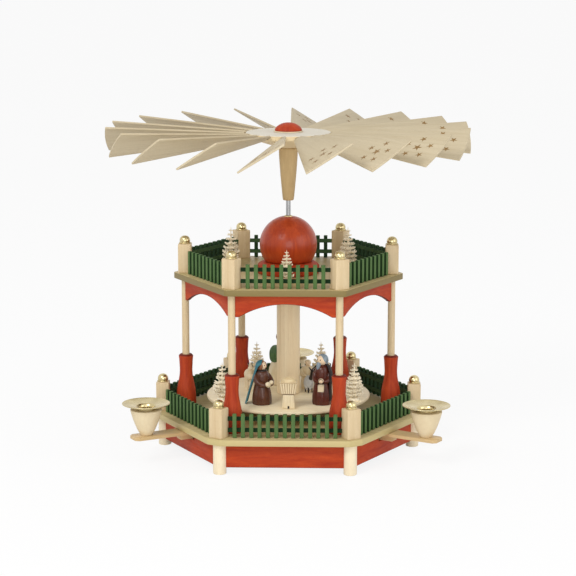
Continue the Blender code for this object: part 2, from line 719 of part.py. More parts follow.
def build_turntable(axis):
    """Round plate with a boss below and four shaved trees, and the column that hides the spindle."""
    bore = SPINDLE_RADIUS + GAP
    boss_base = LOWER_DECK_TOP + GAP + CUP_BEARING_HEIGHT + GAP
    plate_base = TURNTABLE_TOP - TURNTABLE_THICKNESS
    profile = [
        (bore, TURNTABLE_TOP), (TURNTABLE_RADIUS - TURNTABLE_EDGE, TURNTABLE_TOP),
        (TURNTABLE_RADIUS, TURNTABLE_TOP - TURNTABLE_EDGE), (TURNTABLE_RADIUS, plate_base),
        (BOSS_RADIUS, plate_base), (BOSS_RADIUS, boss_base), (bore, boss_base),
    ]
    plate = turned_mesh("plate", profile, 32, closed=True)
    ring = TURNTABLE_RADIUS * TURNTABLE_TREE_RING_SHARE
    places = ring_places(ring, TURNTABLE_TREE_ANGLES, TURNTABLE_TOP - GLUE_DEPTH)
    trees = repeated_mesh("trees", tree_mesh(TURNTABLE_TREE_HEIGHT), places)
    add_part("turntable", combined_mesh("turntable", [plate, trees]), PALE_WOOD, axis, smooth=40)
    top = UPPER_DECK_BASE - CENTRE_COLUMN_TOP_GAP
    profile = [
        (bore, top), (CENTRE_COLUMN_RADIUS, top), (CENTRE_COLUMN_RADIUS, FIGURE_BASE), (bore, FIGURE_BASE),
    ]
    column = turned_mesh("centre_column", profile, 20, closed=True)
    add_part("centre_column", column, NATURAL_WOOD, axis, smooth=40)


def build_spindle(axis):
    point = LOWER_DECK_TOP + GAP + CUP_BEARING_FLOOR + GAP
    top = HANDLE_BASE + HANDLE_LENGTH * HANDLE_SOCKET_SHARE
    profile = [(0, top), (SPINDLE_RADIUS, top), (SPINDLE_RADIUS, point + SPINDLE_POINT), (0, point)]
    add_part("spindle", turned_mesh("spindle", profile, 12), STEEL, axis, smooth=40)


def build_rotor(axis):
    """Tapered handle bored for the spindle, flat hub with slanted slots, domed cap."""
    socket = SPINDLE_RADIUS + GAP
    socket_top = HANDLE_LENGTH * HANDLE_SOCKET_SHARE + GAP
    profile = scaled_profile(HANDLE_TOP_SHARES, HANDLE_TOP_RADIUS, HANDLE_LENGTH)
    profile += [(HANDLE_BOTTOM_RADIUS, 0), (socket, 0), (socket, socket_top), (0, socket_top)]
    handle = turned_mesh("hub_handle", profile, 16)
    add_part("hub_handle", handle, NATURAL_WOOD, axis, location=(0, 0, HANDLE_BASE), smooth=40)
    profile = [
        (0, HUB_HEIGHT), (HUB_RADIUS, HUB_HEIGHT), (HUB_RADIUS, HUB_HEIGHT - HUB_RIM), (HUB_NECK_RADIUS, 0), (0, 0),
    ]
    hub = turned_mesh("rotor_hub", profile, 30)
    hub.transform(Matrix.Translation((0, 0, HUB_BASE)))
    slots = repeated_mesh("slots", slot_cutter_mesh(), blade_places())
    hub = combined_mesh("hub", [hub, slots], "DIFFERENCE")
    add_part("rotor_hub", hub, PALE_WOOD, axis, smooth=40)
    seat = CAP_SEAT_HEIGHT
    profile = scaled_profile(CAP_SHARES, CAP_RADIUS, CAP_HEIGHT, seat)
    profile = profile[:-1] + [(CAP_SEAT_RADIUS, seat), (CAP_SEAT_RADIUS, 0), (0, 0)]
    cap = turned_mesh("hub_cap", profile, 16)
    add_part("hub_cap", cap, RED_STAIN, axis, location=(0, 0, HUB_TOP + GAP), smooth=50)


def blade_outline():
    """Tenon in the hub, narrow shoulder, widening to an end rounded about the spindle."""
    inner = HUB_RADIUS - TENON_LENGTH
    shoulder = HUB_RADIUS + BLADE_SHOULDER_GAP
    spread = math.degrees(math.asin(BLADE_WIDTH / 2 / ROTOR_RADIUS))
    outline = [(inner, -TENON_WIDTH / 2), (shoulder, -TENON_WIDTH / 2), (shoulder, -BLADE_SHOULDER_WIDTH / 2)]
    for step in range(BLADE_ARC_SEGMENTS + 1):
        outline.append(tuple(polar(ROTOR_RADIUS, spread * (2 * step / BLADE_ARC_SEGMENTS - 1))[:2]))
    return outline + [
        (shoulder, BLADE_SHOULDER_WIDTH / 2), (shoulder, TENON_WIDTH / 2), (inner, TENON_WIDTH / 2),
    ]


def slot_cutter_mesh():
    low = (HUB_RADIUS - TENON_LENGTH - GAP, -TENON_WIDTH / 2 - GAP, -BLADE_THICKNESS / 2 - GAP)
    high = (HUB_RADIUS + CUT_OVERRUN, TENON_WIDTH / 2 + GAP, BLADE_THICKNESS / 2 + GAP)
    return box_mesh("slot", low, high)


def blade_places():
    """Each blade is pitched about its own length and droops slightly from the hub's rim."""
    places = []
    rim = Matrix.Translation((HUB_RADIUS, 0, BLADE_LEVEL))
    droop = Matrix.Rotation(math.radians(BLADE_DROOP), 4, "Y")
    pitch = Matrix.Rotation(math.radians(BLADE_PITCH), 4, "X")
    back = Matrix.Translation((-HUB_RADIUS, 0, 0))
    for number in range(BLADE_COUNT):
        angle = BLADE_PHASE + number * 360 / BLADE_COUNT
        places.append(turn_z(angle) @ rim @ droop @ pitch @ back)
    return places


def build_blades(axis):
    blade = flat_mesh("blade", [blade_outline()], BLADE_THICKNESS)
    for number, place in enumerate(blade_places(), start=1):
        add_part(f"rotor_blade_{number:02}", blade.copy(), PALE_WOOD, axis, place=place)


def arm_outline():
    """Flat strip with its outer corners cut off; local X points outwards."""
    outer = CUP_PLACE_RADIUS + ARM_OVERHANG
    inner = outer - ARM_LENGTH
    half = ARM_WIDTH / 2
    return [
        (inner, -half), (outer - ARM_CHAMFER, -half), (outer, -half + ARM_CHAMFER),
        (outer, half - ARM_CHAMFER), (outer - ARM_CHAMFER, half), (inner, half),
    ]


def cup_mesh():
    """Turned cone with a blind bore for the drip pan's socket."""
    floor = CUP_HEIGHT - CUP_BORE_DEPTH
    inner = [(0, floor), (CUP_BORE_RADIUS, floor), (CUP_BORE_RADIUS, CUP_HEIGHT)]
    profile = inner + scaled_profile(CUP_SHARES, CUP_TOP_RADIUS, CUP_HEIGHT) + [(0, 0)]
    return turned_mesh("cup", profile, 14)


def pan_mesh():
    """Pressed brass pan: wide sloping dish, a low band that sits on the cup, a candle socket."""
    outer_socket = SOCKET_RADIUS + PAN_WALL
    profile = [
        (0, PAN_WALL - SOCKET_DEPTH), (SOCKET_RADIUS, PAN_WALL - SOCKET_DEPTH), (SOCKET_RADIUS, 0),
        (SOCKET_MOUTH_RADIUS, PAN_BAND_HEIGHT), (SOCKET_MOUTH_RADIUS + PAN_WALL, PAN_BAND_HEIGHT + PAN_WALL),
        (PAN_BAND_RADIUS, PAN_BAND_HEIGHT + PAN_WALL), (PAN_RADIUS - PAN_WALL, PAN_RISE),
        (PAN_RADIUS, PAN_RISE), (PAN_RADIUS, PAN_RISE - PAN_WALL),
        (PAN_BAND_RADIUS, PAN_BAND_HEIGHT), (PAN_BAND_RADIUS, 0), (outer_socket, 0),
        (outer_socket, -SOCKET_DEPTH), (0, -SOCKET_DEPTH),
    ]
    return turned_mesh("pan", profile, 16)


def guide_mesh():
    """Channel under the deck that the arm slides in, with a tongue out through the skirting."""
    inner = GUIDE_OUTER - GUIDE_LENGTH
    slot_half = ARM_WIDTH / 2 + GAP
    half = slot_half + GUIDE_WALL
    block = box_mesh("block", (inner, -half, GUIDE_BASE), (GUIDE_OUTER, half, GUIDE_TOP))
    slot = box_mesh(
        "slot",
        (inner - CUT_OVERRUN, -slot_half, GUIDE_FLOOR_TOP),
        (GUIDE_OUTER + CUT_OVERRUN, slot_half, GUIDE_TOP + CUT_OVERRUN),
    )
    channel = combined_mesh("channel", [block, slot], "DIFFERENCE")
    reach = GUIDE_OUTER + GUIDE_TONGUE_REACH
    tongue_half = GUIDE_TONGUE_WIDTH / 2
    tongue = box_mesh(
        "tongue",
        (GUIDE_OUTER - GUIDE_WALL, -tongue_half, GUIDE_BASE),
        (reach, tongue_half, GUIDE_FLOOR_TOP),
    )
    return combined_mesh("guide", [channel, tongue])


def build_arms():
    for number, angle in enumerate(ARM_ANGLES, start=1):
        axis = add_axis(f"candle_arm_axis_{number}", (0, 0, ARM_TOP), angle)
        arm = flat_mesh("arm", [arm_outline()], ARM_THICKNESS)
        add_part(f"candle_arm_{number}", arm, NATURAL_WOOD, axis, location=(0, 0, -ARM_THICKNESS / 2))
        place = (CUP_PLACE_RADIUS, 0, GAP)
        add_part(f"candle_cup_{number}", cup_mesh(), NATURAL_WOOD, axis, location=place, smooth=40)
        place = (CUP_PLACE_RADIUS, 0, CUP_HEIGHT + 2 * GAP)
        add_part(f"drip_pan_{number}", pan_mesh(), BRASS, axis, location=place, smooth=40)


def figure_mesh(name, radius, height):
    """A turned figure facing -Y: robe, round head, sleeves meeting in front, and hands."""
    head = ball_mesh("head", (0, 0, height * HEAD_LEVEL_SHARE), height * HEAD_RADIUS_SHARE, 8, 6)
    sleeve = [(radius * x, radius * y, height * z) for x, y, z in SLEEVE_SHARES]
    sleeves = tube_mesh("sleeves", sleeve, radius * SLEEVE_RADIUS_SHARE)
    x, y, z = HANDS_PLACE_SHARES
    hands = ball_mesh("hands", (radius * x, radius * y, height * z), radius * HANDS_RADIUS_SHARE, 6, 4)
    robe = turned_mesh("robe", scaled_profile(ROBE_SHARES, radius, height), 10)
    return combined_mesh(name, [robe, head, sleeves, hands])


def turntable_place(ring_share, angle):
    return polar(TURNTABLE_RADIUS * ring_share, angle, FIGURE_BASE)


def veil_mesh():
    """A strip that lies over the head and hangs down behind to the turntable."""
    level = MOTHER_HEIGHT * HEAD_LEVEL_SHARE
    inner = MOTHER_HEIGHT * HEAD_RADIUS_SHARE + GAP
    outer = inner + VEIL_THICKNESS
    arc = [math.radians(angle) for angle in VEIL_ARC_ANGLES]
    inside = [(inner * math.sin(lean), level + inner * math.cos(lean)) for lean in arc]
    outside = [(outer * math.sin(lean), level + outer * math.cos(lean)) for lean in arc]
    across, up = ROBE_SHARES[3]
    shoulder = (MOTHER_RADIUS * across + 2 * GAP, MOTHER_HEIGHT * up)
    inside.append(shoulder)
    outside.append((shoulder[0] + VEIL_THICKNESS, shoulder[1]))
    hem = [(VEIL_TRAIL, 0), (VEIL_TRAIL + 2 * VEIL_THICKNESS, 0)]
    mesh = flat_mesh("veil", [inside + hem + outside[::-1]], VEIL_WIDTH)
    upright = Matrix.Rotation(math.radians(90), 4, "Z") @ Matrix.Rotation(math.radians(90), 4, "X")
    mesh.transform(upright)
    return mesh


def build_mother(axis):
    place = turntable_place(MOTHER_RING_SHARE, MOTHER_ANGLE)
    mesh = figure_mesh("mother", MOTHER_RADIUS, MOTHER_HEIGHT)
    add_part("mother", mesh, BROWN_ROBE, axis, location=place, turn=MOTHER_TURN, smooth=40)
    add_part("mother_veil", veil_mesh(), BLUE_VEIL, axis, location=place, turn=MOTHER_TURN)


def build_father(axis):
    """Standing figure with a square lantern hanging from the hands."""
    place = turntable_place(FATHER_RING_SHARE, FATHER_ANGLE)
    mesh = figure_mesh("father", FATHER_RADIUS, FATHER_HEIGHT)
    add_part("father", mesh, BROWN_ROBE, axis, location=place, turn=FATHER_TURN, smooth=40)
    hand_x, hand_y, hand_z = HANDS_PLACE_SHARES
    hand_radius = FATHER_RADIUS * HANDS_RADIUS_SHARE
    top = FATHER_HEIGHT * hand_z - hand_radius - GAP
    front = FATHER_RADIUS * hand_y
    half = LANTERN_WIDTH / 2
    body = box_mesh("lantern", (-half, front - half, top - LANTERN_HEIGHT), (half, front + half, top))
    add_part("father_lantern", body, PALE_WOOD, axis, location=place, turn=FATHER_TURN)


def wing_outline():
    """Both rounded wings as one outline, joined behind the back."""
    lobe = []
    for step in range(WING_SEGMENTS + 1):
        lean = math.radians(WING_SWEEP * (step / WING_SEGMENTS - WING_LOW_SHARE))
        lobe.append((WING_SPAN / 2 * math.cos(lean / 2), WING_HEIGHT / 2 * math.sin(lean)))
    inner = [(WING_THICKNESS, WING_HEIGHT / 4), (-WING_THICKNESS, WING_HEIGHT / 4)]
    return lobe + inner + [(-x, y) for x, y in reversed(lobe)]


def build_angel(axis):
    place = turntable_place(ANGEL_RING_SHARE, ANGEL_ANGLE)
    mesh = figure_mesh("angel", ANGEL_RADIUS, ANGEL_HEIGHT)
    add_part("angel", mesh, CREAM_DRESS, axis, location=place, turn=ANGEL_TURN, smooth=40)
    wings = flat_mesh("wings", [wing_outline()], WING_THICKNESS)
    back = ANGEL_RADIUS * ROBE_SHARES[3][0] + WING_THICKNESS / 2 + GAP
    level = ANGEL_HEIGHT * WING_LEVEL_SHARE
    wings.transform(Matrix.Translation((0, back, level)) @ Matrix.Rotation(math.radians(90), 4, "X"))
    add_part("angel_wings", wings, GREEN_WING, axis, location=place, turn=ANGEL_TURN)


def build_shepherd(axis):
    place = turntable_place(SHEPHERD_RING_SHARE, SHEPHERD_ANGLE)
    mesh = figure_mesh("shepherd", SHEPHERD_RADIUS, SHEPHERD_HEIGHT)
    add_part("shepherd", mesh, CREAM_DRESS, axis, location=place, smooth=40)


def build_lamb(axis):
    """Round woolly body on four short legs, with a raised neck and a small head."""
    radius = LAMB_LENGTH / 3
    level = LAMB_HEIGHT - radius
    body = ball_mesh("body", (0, 0, level), radius, 8, 6, LAMB_STRETCH_SHARES)
    head_place = (LAMB_LENGTH / 2, 0, LAMB_HEAD_LEVEL)
    neck = tube_mesh("neck", [(radius / 2, 0, level), head_place], radius / 3)
    pieces = [body, neck, ball_mesh("head", head_place, radius / 2, 6, 5)]
    half_leg = radius / 6
    for along in (-LAMB_LENGTH / 5, LAMB_LENGTH / 5):
        for across in (-radius / 2, radius / 2):
            foot = (along - half_leg, across - half_leg, 0)
            pieces.append(box_mesh("leg", foot, (along + half_leg, across + half_leg, level)))
    mesh = combined_mesh("lamb", pieces)
    place = turntable_place(LAMB_RING_SHARE, LAMB_ANGLE)
    add_part("lamb", mesh, WOOL_WHITE, axis, location=place, turn=LAMB_TURN, smooth=40)


def build_donkey(axis):
    """Turned body on four straight legs, with a raised neck, a long head and two ears."""
    radius = DONKEY_BODY_RADIUS
    half = DONKEY_LENGTH / 2
    back = DONKEY_HEIGHT * DONKEY_BACK_SHARE
    level = back - radius
    body = ball_mesh("body", (0, 0, level), radius, 10, 6, (half / radius, 1, 1))
    head_level = DONKEY_HEIGHT * DONKEY_HEAD_SHARE
    root, crest = DONKEY_NECK_SHARES
    neck = tube_mesh("neck", [(half * root, 0, level), (half * crest, 0, head_level)], radius / 2)
    poll, nose = DONKEY_HEAD_SHARES
    line = [(half * poll, 0, head_level), (half * nose, 0, head_level - radius / 2)]
    pieces = [body, neck, tube_mesh("head", line, radius * DONKEY_HEAD_WIDTH_SHARE)]
    low, high = DONKEY_EAR_SHARES
    for side in (-1, 1):
        root = (half * low, side * radius / 4, head_level)
        tip = (half * high, side * radius * DONKEY_EAR_SPREAD_SHARE, DONKEY_HEIGHT)
        pieces.append(tube_mesh("ear", [root, tip], radius / 6))
    half_leg = radius / 5
    for along in (-half / 2, half / 2):
        for across in (-radius / 2, radius / 2):
            foot = (along - half_leg, across - half_leg, 0)
            pieces.append(box_mesh("leg", foot, (along + half_leg, across + half_leg, level)))
    mesh = combined_mesh("donkey", pieces)
    place = turntable_place(DONKEY_RING_SHARE, DONKEY_ANGLE)
    add_part("donkey", mesh, PALE_WOOD, axis, location=place, turn=DONKEY_TURN, smooth=40)


def build_manger(axis):
    """Flaring trough on a solid foot with a small notch, heaped with straw."""
    rim = MANGER_FOOT_HEIGHT + MANGER_TROUGH_HEIGHT
    right = [
        (MANGER_NOTCH, 0), (MANGER_FOOT_WIDTH / 2, 0), (MANGER_NECK_WIDTH / 2, MANGER_FOOT_HEIGHT - MANGER_LEDGE),
        (MANGER_FLOOR_WIDTH / 2, MANGER_FOOT_HEIGHT), (MANGER_TOP_WIDTH / 2, rim),
    ]
    outline = [(0, MANGER_NOTCH)] + right + [(-x, z) for x, z in reversed(right)]
    body = flat_mesh("manger", [outline], MANGER_DEPTH)
    body.transform(Matrix.Rotation(math.radians(90), 4, "X"))
    heap = Vector((MANGER_TOP_WIDTH / 2 - MANGER_WALL, MANGER_DEPTH / 2 - MANGER_WALL, MANGER_STRAW_HEIGHT))
    middle = (0, 0, rim - MANGER_WALL / 2)
    straw = ball_mesh("straw", middle, MANGER_STRAW_HEIGHT, 10, 6, heap / MANGER_STRAW_HEIGHT)
    mesh = combined_mesh("manger", [body, straw])
    place = turntable_place(MANGER_RING_SHARE, MANGER_ANGLE)
    add_part("manger", mesh, PALE_WOOD, axis, location=place)


def build_stand():
    build_lower_deck()
    build_upper_deck()
    build_skirting()
    build_fence("lower_fence", LOWER_POST_RING, LOWER_DECK_TOP)
    build_fence("upper_fence", UPPER_POST_RING, UPPER_DECK_TOP)
    build_column_bases()
    build_arcade()
    build_ball()
    build_bearing_cup()


def build_carousel():
    axis = add_axis("carousel_axis")
    build_spindle(axis)
    build_turntable(axis)
    build_rotor(axis)
    build_blades(axis)
    build_mother(axis)
    build_father(axis)
    build_manger(axis)
    build_angel(axis)
    build_shepherd(axis)
    build_lamb(axis)
    build_donkey(axis)


build_stand()
build_arms()
build_carousel()
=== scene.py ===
import math

import bmesh
import bpy
from mathutils import Matrix, Vector


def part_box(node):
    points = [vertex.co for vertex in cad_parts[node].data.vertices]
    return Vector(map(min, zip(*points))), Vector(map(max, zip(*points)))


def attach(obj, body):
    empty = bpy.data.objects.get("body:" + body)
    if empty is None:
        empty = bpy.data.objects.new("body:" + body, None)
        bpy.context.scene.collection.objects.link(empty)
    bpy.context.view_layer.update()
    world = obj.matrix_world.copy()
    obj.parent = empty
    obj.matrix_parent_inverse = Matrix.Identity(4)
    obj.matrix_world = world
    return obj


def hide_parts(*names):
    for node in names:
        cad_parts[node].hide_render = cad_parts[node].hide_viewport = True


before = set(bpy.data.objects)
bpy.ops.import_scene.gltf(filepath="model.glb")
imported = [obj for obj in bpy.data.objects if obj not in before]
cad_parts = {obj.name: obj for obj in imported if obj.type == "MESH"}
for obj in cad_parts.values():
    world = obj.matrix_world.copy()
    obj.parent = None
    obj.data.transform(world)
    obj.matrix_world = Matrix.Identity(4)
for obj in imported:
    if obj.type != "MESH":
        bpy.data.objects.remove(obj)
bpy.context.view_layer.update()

# The carousel stands on a white table in soft studio light, seen from a little above the fences
# with a long lens. Three broad lamps give the turned wood its gentle shading.


def in_scene(name, data):
    """A new object in the scene, at the origin."""
    thing = bpy.data.objects.new(name, data)
    bpy.context.scene.collection.objects.link(thing)
    return thing


camera = in_scene("camera", bpy.data.cameras.new("camera"))
camera.location = (0.06363, -2.11893, 0.56858)
camera.rotation_euler = (math.radians(90 - 10.466), 0, math.radians(1.73))
camera.data.lens = 123.05
camera.data.sensor_width = 36
bpy.context.scene.camera = camera
bpy.context.scene.view_settings.view_transform = "Standard"
CAROUSEL_MIDDLE = Vector((0, 0, 0.18))


def lamp(name, place, size, watts):
    """A broad square lamp, aimed at the middle of the carousel."""
    light = bpy.data.lights.new(name, "AREA")
    light.size = size
    light.energy = watts
    holder = in_scene(name, light)
    holder.location = place
    holder.rotation_euler = (CAROUSEL_MIDDLE - Vector(place)).to_track_quat("-Z", "Y").to_euler()


lamp("key_lamp", (-1.1, -1.9, 1.9), 0.9, 26)
lamp("fill_lamp", (1.9, -1.2, 1.0), 1.4, 9)
lamp("front_lamp", (0.15, -2.3, 0.5), 1.0, 9)


class Wire:
    """One output socket; Python's operators on it add Math nodes."""

    def __init__(self, graph, socket):
        self.graph = graph
        self.socket = socket

    def math(self, operation, first, second=0.0):
        return self.graph.node("ShaderNodeMath", {"operation": operation}, {0: first, 1: second})[0]

    def __add__(self, other):
        return self.math("ADD", self, other)

    def __radd__(self, other):
        return self.math("ADD", other, self)

    def __sub__(self, other):
        return self.math("SUBTRACT", self, other)

    def __rsub__(self, other):
        return self.math("SUBTRACT", other, self)

    def __mul__(self, other):
        return self.math("MULTIPLY", self, other)

    def __rmul__(self, other):
        return self.math("MULTIPLY", other, self)

    def __truediv__(self, other):
        return self.math("DIVIDE", self, other)

    def clamped(self):
        return self.graph.node("ShaderNodeClamp", None, {0: self})[0]

    def floor(self):
        return self.math("FLOOR", self)

    def cos(self):
        return self.math("COSINE", self)

    def sin(self):
        return self.math("SINE", self)

    def root(self):
        return self.math("SQRT", self)


class Graph:
    """A node tree, for shaders and geometry alike."""

    def __init__(self, tree):
        self.tree = tree

    def node(self, kind, settings=None, sockets=None):
        """Add a node; its outputs are found by number and by name."""
        made = self.tree.nodes.new(kind)
        for key, value in (settings or {}).items():
            setattr(made, key, value)
        for key, value in (sockets or {}).items():
            self.feed(made.inputs[key], value)
        outputs = {}
        for number, output in enumerate(made.outputs):
            outputs[number] = Wire(self, output)
            outputs.setdefault(output.name, outputs[number])
        return outputs

    def feed(self, socket, value):
        if isinstance(value, Wire):
            self.tree.links.new(value.socket, socket)
        else:
            socket.default_value = value

    def vector(self, x, y, z):
        return self.node("ShaderNodeCombineXYZ", None, {0: x, 1: y, 2: z})[0]


world = bpy.data.worlds.new("studio")
world.use_nodes = True
bpy.context.scene.world = world
sky = Graph(world.node_tree)
rays = sky.node("ShaderNodeLightPath")
seen = (rays["Is Camera Ray"] + rays["Is Glossy Ray"] + rays["Is Transmission Ray"]).clamped()
sky.feed(world.node_tree.nodes["Background"].inputs["Color"], (1, 1, 1, 1))
sky.feed(world.node_tree.nodes["Background"].inputs["Strength"], 0.68 + 0.32 * seen)

floor_paper = bpy.data.materials.new("white_paper")
floor_paper.use_nodes = True
paper = Graph(floor_paper.node_tree)
paper_rays = paper.node("ShaderNodeLightPath")
paper_seen = (paper_rays["Is Camera Ray"] + paper_rays["Is Glossy Ray"]).clamped() * 0.86
paper_matt = paper.node("ShaderNodeBsdfDiffuse", None, {"Color": (0.94, 0.94, 0.94, 1)})[0]
paper_glow = paper.node("ShaderNodeEmission", None, {"Color": (1, 1, 1, 1), "Strength": 1.0})[0]
paper_mix = paper.node("ShaderNodeMixShader", None, {0: paper_seen, 1: paper_matt, 2: paper_glow})[0]
paper.feed(floor_paper.node_tree.nodes["Material Output"].inputs["Surface"], paper_mix)
bpy.ops.mesh.primitive_plane_add(size=40, location=(0, 0, -0.0002))
table = bpy.context.object
table.name = "table"
table.data.materials.append(floor_paper)

# Two hexagonal deck boards of clear-varnished hardwood carry everything that stands still.
# Their top edges are just eased, the corners cut a little, and the grain runs left to right.
LOWER_DECK_TOP = 0.0397
UPPER_DECK_TOP = 0.1943
DECK_THICK = 0.0066
# The sides of each deck are tinted darker than the top, partly for the end grain and partly as painted shade;
# the upper deck's sides are much darker.
DECKS = (
    ("lower", 0.1535, 0.0088, LOWER_DECK_TOP, (0.55, 0.45, 0.21)),
    ("upper", 0.1258, 0.0016, UPPER_DECK_TOP, (0.19, 0.14, 0.045)),
)
SIDE_FLATNESS = math.cos(math.radians(30))


def new_material(name):
    """A material, and the graph that its nodes go into."""
    material = bpy.data.materials.new(name)
    material.use_nodes = True
    return material, Graph(material.node_tree)


def noise(graph, place, scale, detail, **more):
    sockets = {"Vector": place, "Scale": scale, "Detail": detail, **more}
    return graph.node("ShaderNodeTexNoise", None, sockets)[0]


def tinted(graph, share, ground, tint):
    return graph.node("ShaderNodeMix", {"data_type": "RGBA"}, {0: share, 6: ground, 7: (*tint, 1)})[2]


def surfaced(graph, colour, roughness, relief, strength, distance, fixed):
    """Feed the shader its colour, roughness and fine relief, and what is the same all over."""
    sockets = {"Strength": strength, "Distance": distance, "Height": relief}
    bump = graph.node("ShaderNodeBump", None, sockets)[0]
    feeds = {"Base Color": colour, "Roughness": roughness.clamped(), "Normal": bump, **fixed}
    for socket, value in feeds.items():
        graph.feed(graph.tree.nodes["Principled BSDF"].inputs[socket], value)


def wood(name, pale, dark, along=(1, 1, 0.06), roughness=0.5, coat=0.0, contrast=1.0, pores=0.5, tone_and_painted_light=None):
    """Stained or bare wood. Its grain runs along the axis whose share in along is small.

    Marked faces take the given tint: the wood's own tone on some pieces, painted shade and light on others.
    """
    material, graph = new_material(name)
    place = graph.node("ShaderNodeAttribute", {"attribute_name": "grain"})["Vector"]
    copy = graph.node("ShaderNodeAttribute", {"attribute_name": "copy"})["Fac"]
    shift = graph.vector(copy * 0.173, copy * 0.091, copy * 0.219)
    moved = graph.node("ShaderNodeVectorMath", {"operation": "ADD"}, {0: place, 1: shift})[0]
    laid = graph.node("ShaderNodeVectorMath", {"operation": "MULTIPLY"}, {0: moved, 1: along})[0]
    bands = noise(graph, laid, 190, 4, Roughness=0.6, Distortion=0.7)
    fibres = noise(graph, laid, 1700, 3, Roughness=0.7)
    flecks = noise(graph, laid, 4200, 1)
    band_mask = ((bands - 0.5) * 2.6 * contrast + 0.45).clamped()
    fibre_mask = ((fibres - 0.5) * 2.4 + 0.5).clamped()
    pore_mask = ((flecks - 0.62) * 9.0).clamped() * pores
    colour = tinted(graph, band_mask, (*pale, 1), dark)
    colour = tinted(graph, fibre_mask * 0.28 * contrast, colour, dark)
    colour = tinted(graph, pore_mask, colour, [channel * 0.72 for channel in dark])
    # The marked faces' tint is the wood's own tone on some pieces, and painted shade and painted light on
    # others.
    if tone_and_painted_light:
        marked = graph.node("ShaderNodeAttribute", {"attribute_name": "tone_and_painted_light"})["Fac"]
        colour = tinted(graph, marked * 0.9, colour, tone_and_painted_light)
    relief = fibre_mask * 0.6 - pore_mask * 0.8
    fixed = {"Specular IOR Level": 0.22, "Coat Weight": coat, "Coat Roughness": 0.18}
    surfaced(graph, colour, fibre_mask * 0.14 + (roughness - 0.07), relief, 0.28, 0.00012, fixed)
    return material


def copies_tree(name, counts, sizes, rule):
    """A geometry tree that puts numbered copies of the mesh where the rule says."""
    tree = bpy.data.node_groups.new(name, "GeometryNodeTree")
    labels = [("Geometry", "Geometry"), ("Finish", "Material")]
    labels += [(label, "Int") for label in counts] + [(label, "Float") for label in sizes]
    for label, kind in labels:
        tree.interface.new_socket(label, in_out="INPUT", socket_type=f"NodeSocket{kind}")
    tree.interface.new_socket("Geometry", in_out="OUTPUT", socket_type="NodeSocketGeometry")
    graph = Graph(tree)

    def labelled(geometry, kind, domain, label, value):
        settings = {"data_type": kind, "domain": domain}
        sockets = {"Geometry": geometry, "Name": label, "Value": value}
        return graph.node("GeometryNodeStoreNamedAttribute", settings, sockets)[0]

    given = graph.node("NodeGroupInput")
    number = graph.node("GeometryNodeInputIndex")[0]
    total, spot, turn, scale = rule(graph, given, number)
    points = graph.node("GeometryNodePoints", None, {"Count": total, "Position": spot})[0]
    own_place = graph.node("GeometryNodeInputPosition")[0]
    grained = labelled(given["Geometry"], "FLOAT_VECTOR", "POINT", "grain", own_place)
    sockets = {"Points": points, "Instance": grained, "Rotation": turn, "Scale": scale}
    placed = graph.node("GeometryNodeInstanceOnPoints", None, sockets)[0]
    numbered = labelled(placed, "FLOAT", "INSTANCE", "copy", number)
    real = graph.node("GeometryNodeRealizeInstances", None, {"Geometry": numbered})[0]
    finished = graph.node("GeometryNodeSetMaterial", None, {"Geometry": real, "Material": given["Finish"]})[0]
    graph.node("NodeGroupOutput", None, {"Geometry": finished})
    return tree


def ring_rule(graph, given, number):
    angle = given["First"] + number * math.tau / given["Copies"]
    spot = graph.vector(given["Radius"] * angle.cos(), given["Radius"] * angle.sin(), given["Level"])
    return given["Copies"], spot, graph.vector(0, 0, angle), graph.vector(1, 1, 1)


RING = copies_tree("ring_of_copies", ("Copies",), ("Radius", "First", "Level"), ring_rule)


def evaluated(thing):
    """An object's shape with its modifiers, as a plain mesh."""
    return bpy.data.meshes.new_from_object(thing.evaluated_get(bpy.context.evaluated_depsgraph_get()))


def laid_out(mesh, material, tree, values):
    """The mesh that a copies tree makes of one mesh."""
    blank = in_scene("blank", mesh)
    copies = blank.modifiers.new("copies", "NODES")
    copies.node_group = tree
    given = {**values, "Finish": material}
    for item in tree.interface.items_tree:
        if item.in_out == "INPUT" and item.name in given:
            copies[item.identifier] = given[item.name]
    made = evaluated(blank)
    blank.modifiers.remove(copies)
    bpy.data.objects.remove(blank)
    return made


def ring(mesh, material, copies=1, radius=0.0, first=0.0, level=0.0):
    """Copies of a mesh in an even ring, the first of them at an angle in degrees."""
    values = {"Copies": copies, "Radius": radius, "First": math.radians(first), "Level": level}
    return laid_out(mesh, material, RING, values)


def finish(name, mesh, body, replaces=(), smooth=35):
    """Put a finished mesh in the scene as a piece that rides on its body."""
    piece = in_scene(name, mesh)
    if smooth:
        mesh.shade_smooth()
        mesh.set_sharp_from_angle(angle=math.radians(smooth))
    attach(piece, body)
    if replaces:
        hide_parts(*replaces)
    return piece


def mesh_of(build):
    """A mesh from a bmesh, with its doubles merged and its faces turned outwards."""
    bmesh.ops.remove_doubles(build, verts=build.verts, dist=0.000002)
    bmesh.ops.recalc_face_normals(build, faces=build.faces)
    mesh = bpy.data.meshes.new("shape")
    build.to_mesh(mesh)
    build.free()
    return mesh


def board(outline, low, high, ease=0.0005):
    """A flat board with an outline in XY and its long edges slightly rounded."""
    build = bmesh.new()
    face = build.faces.new([build.verts.new((x, y, low)) for x, y in outline])
    grown = bmesh.ops.extrude_face_region(build, geom=[face])
    top = [item for item in grown["geom"] if isinstance(item, bmesh.types.BMVert)]
    bmesh.ops.translate(build, verts=top, vec=(0, 0, high - low))
    bmesh.ops.recalc_face_normals(build, faces=build.faces)
    if ease:
        bmesh.ops.bevel(build, geom=build.edges[:], offset=ease, segments=2, profile=0.5, affect="EDGES")
    return mesh_of(build)


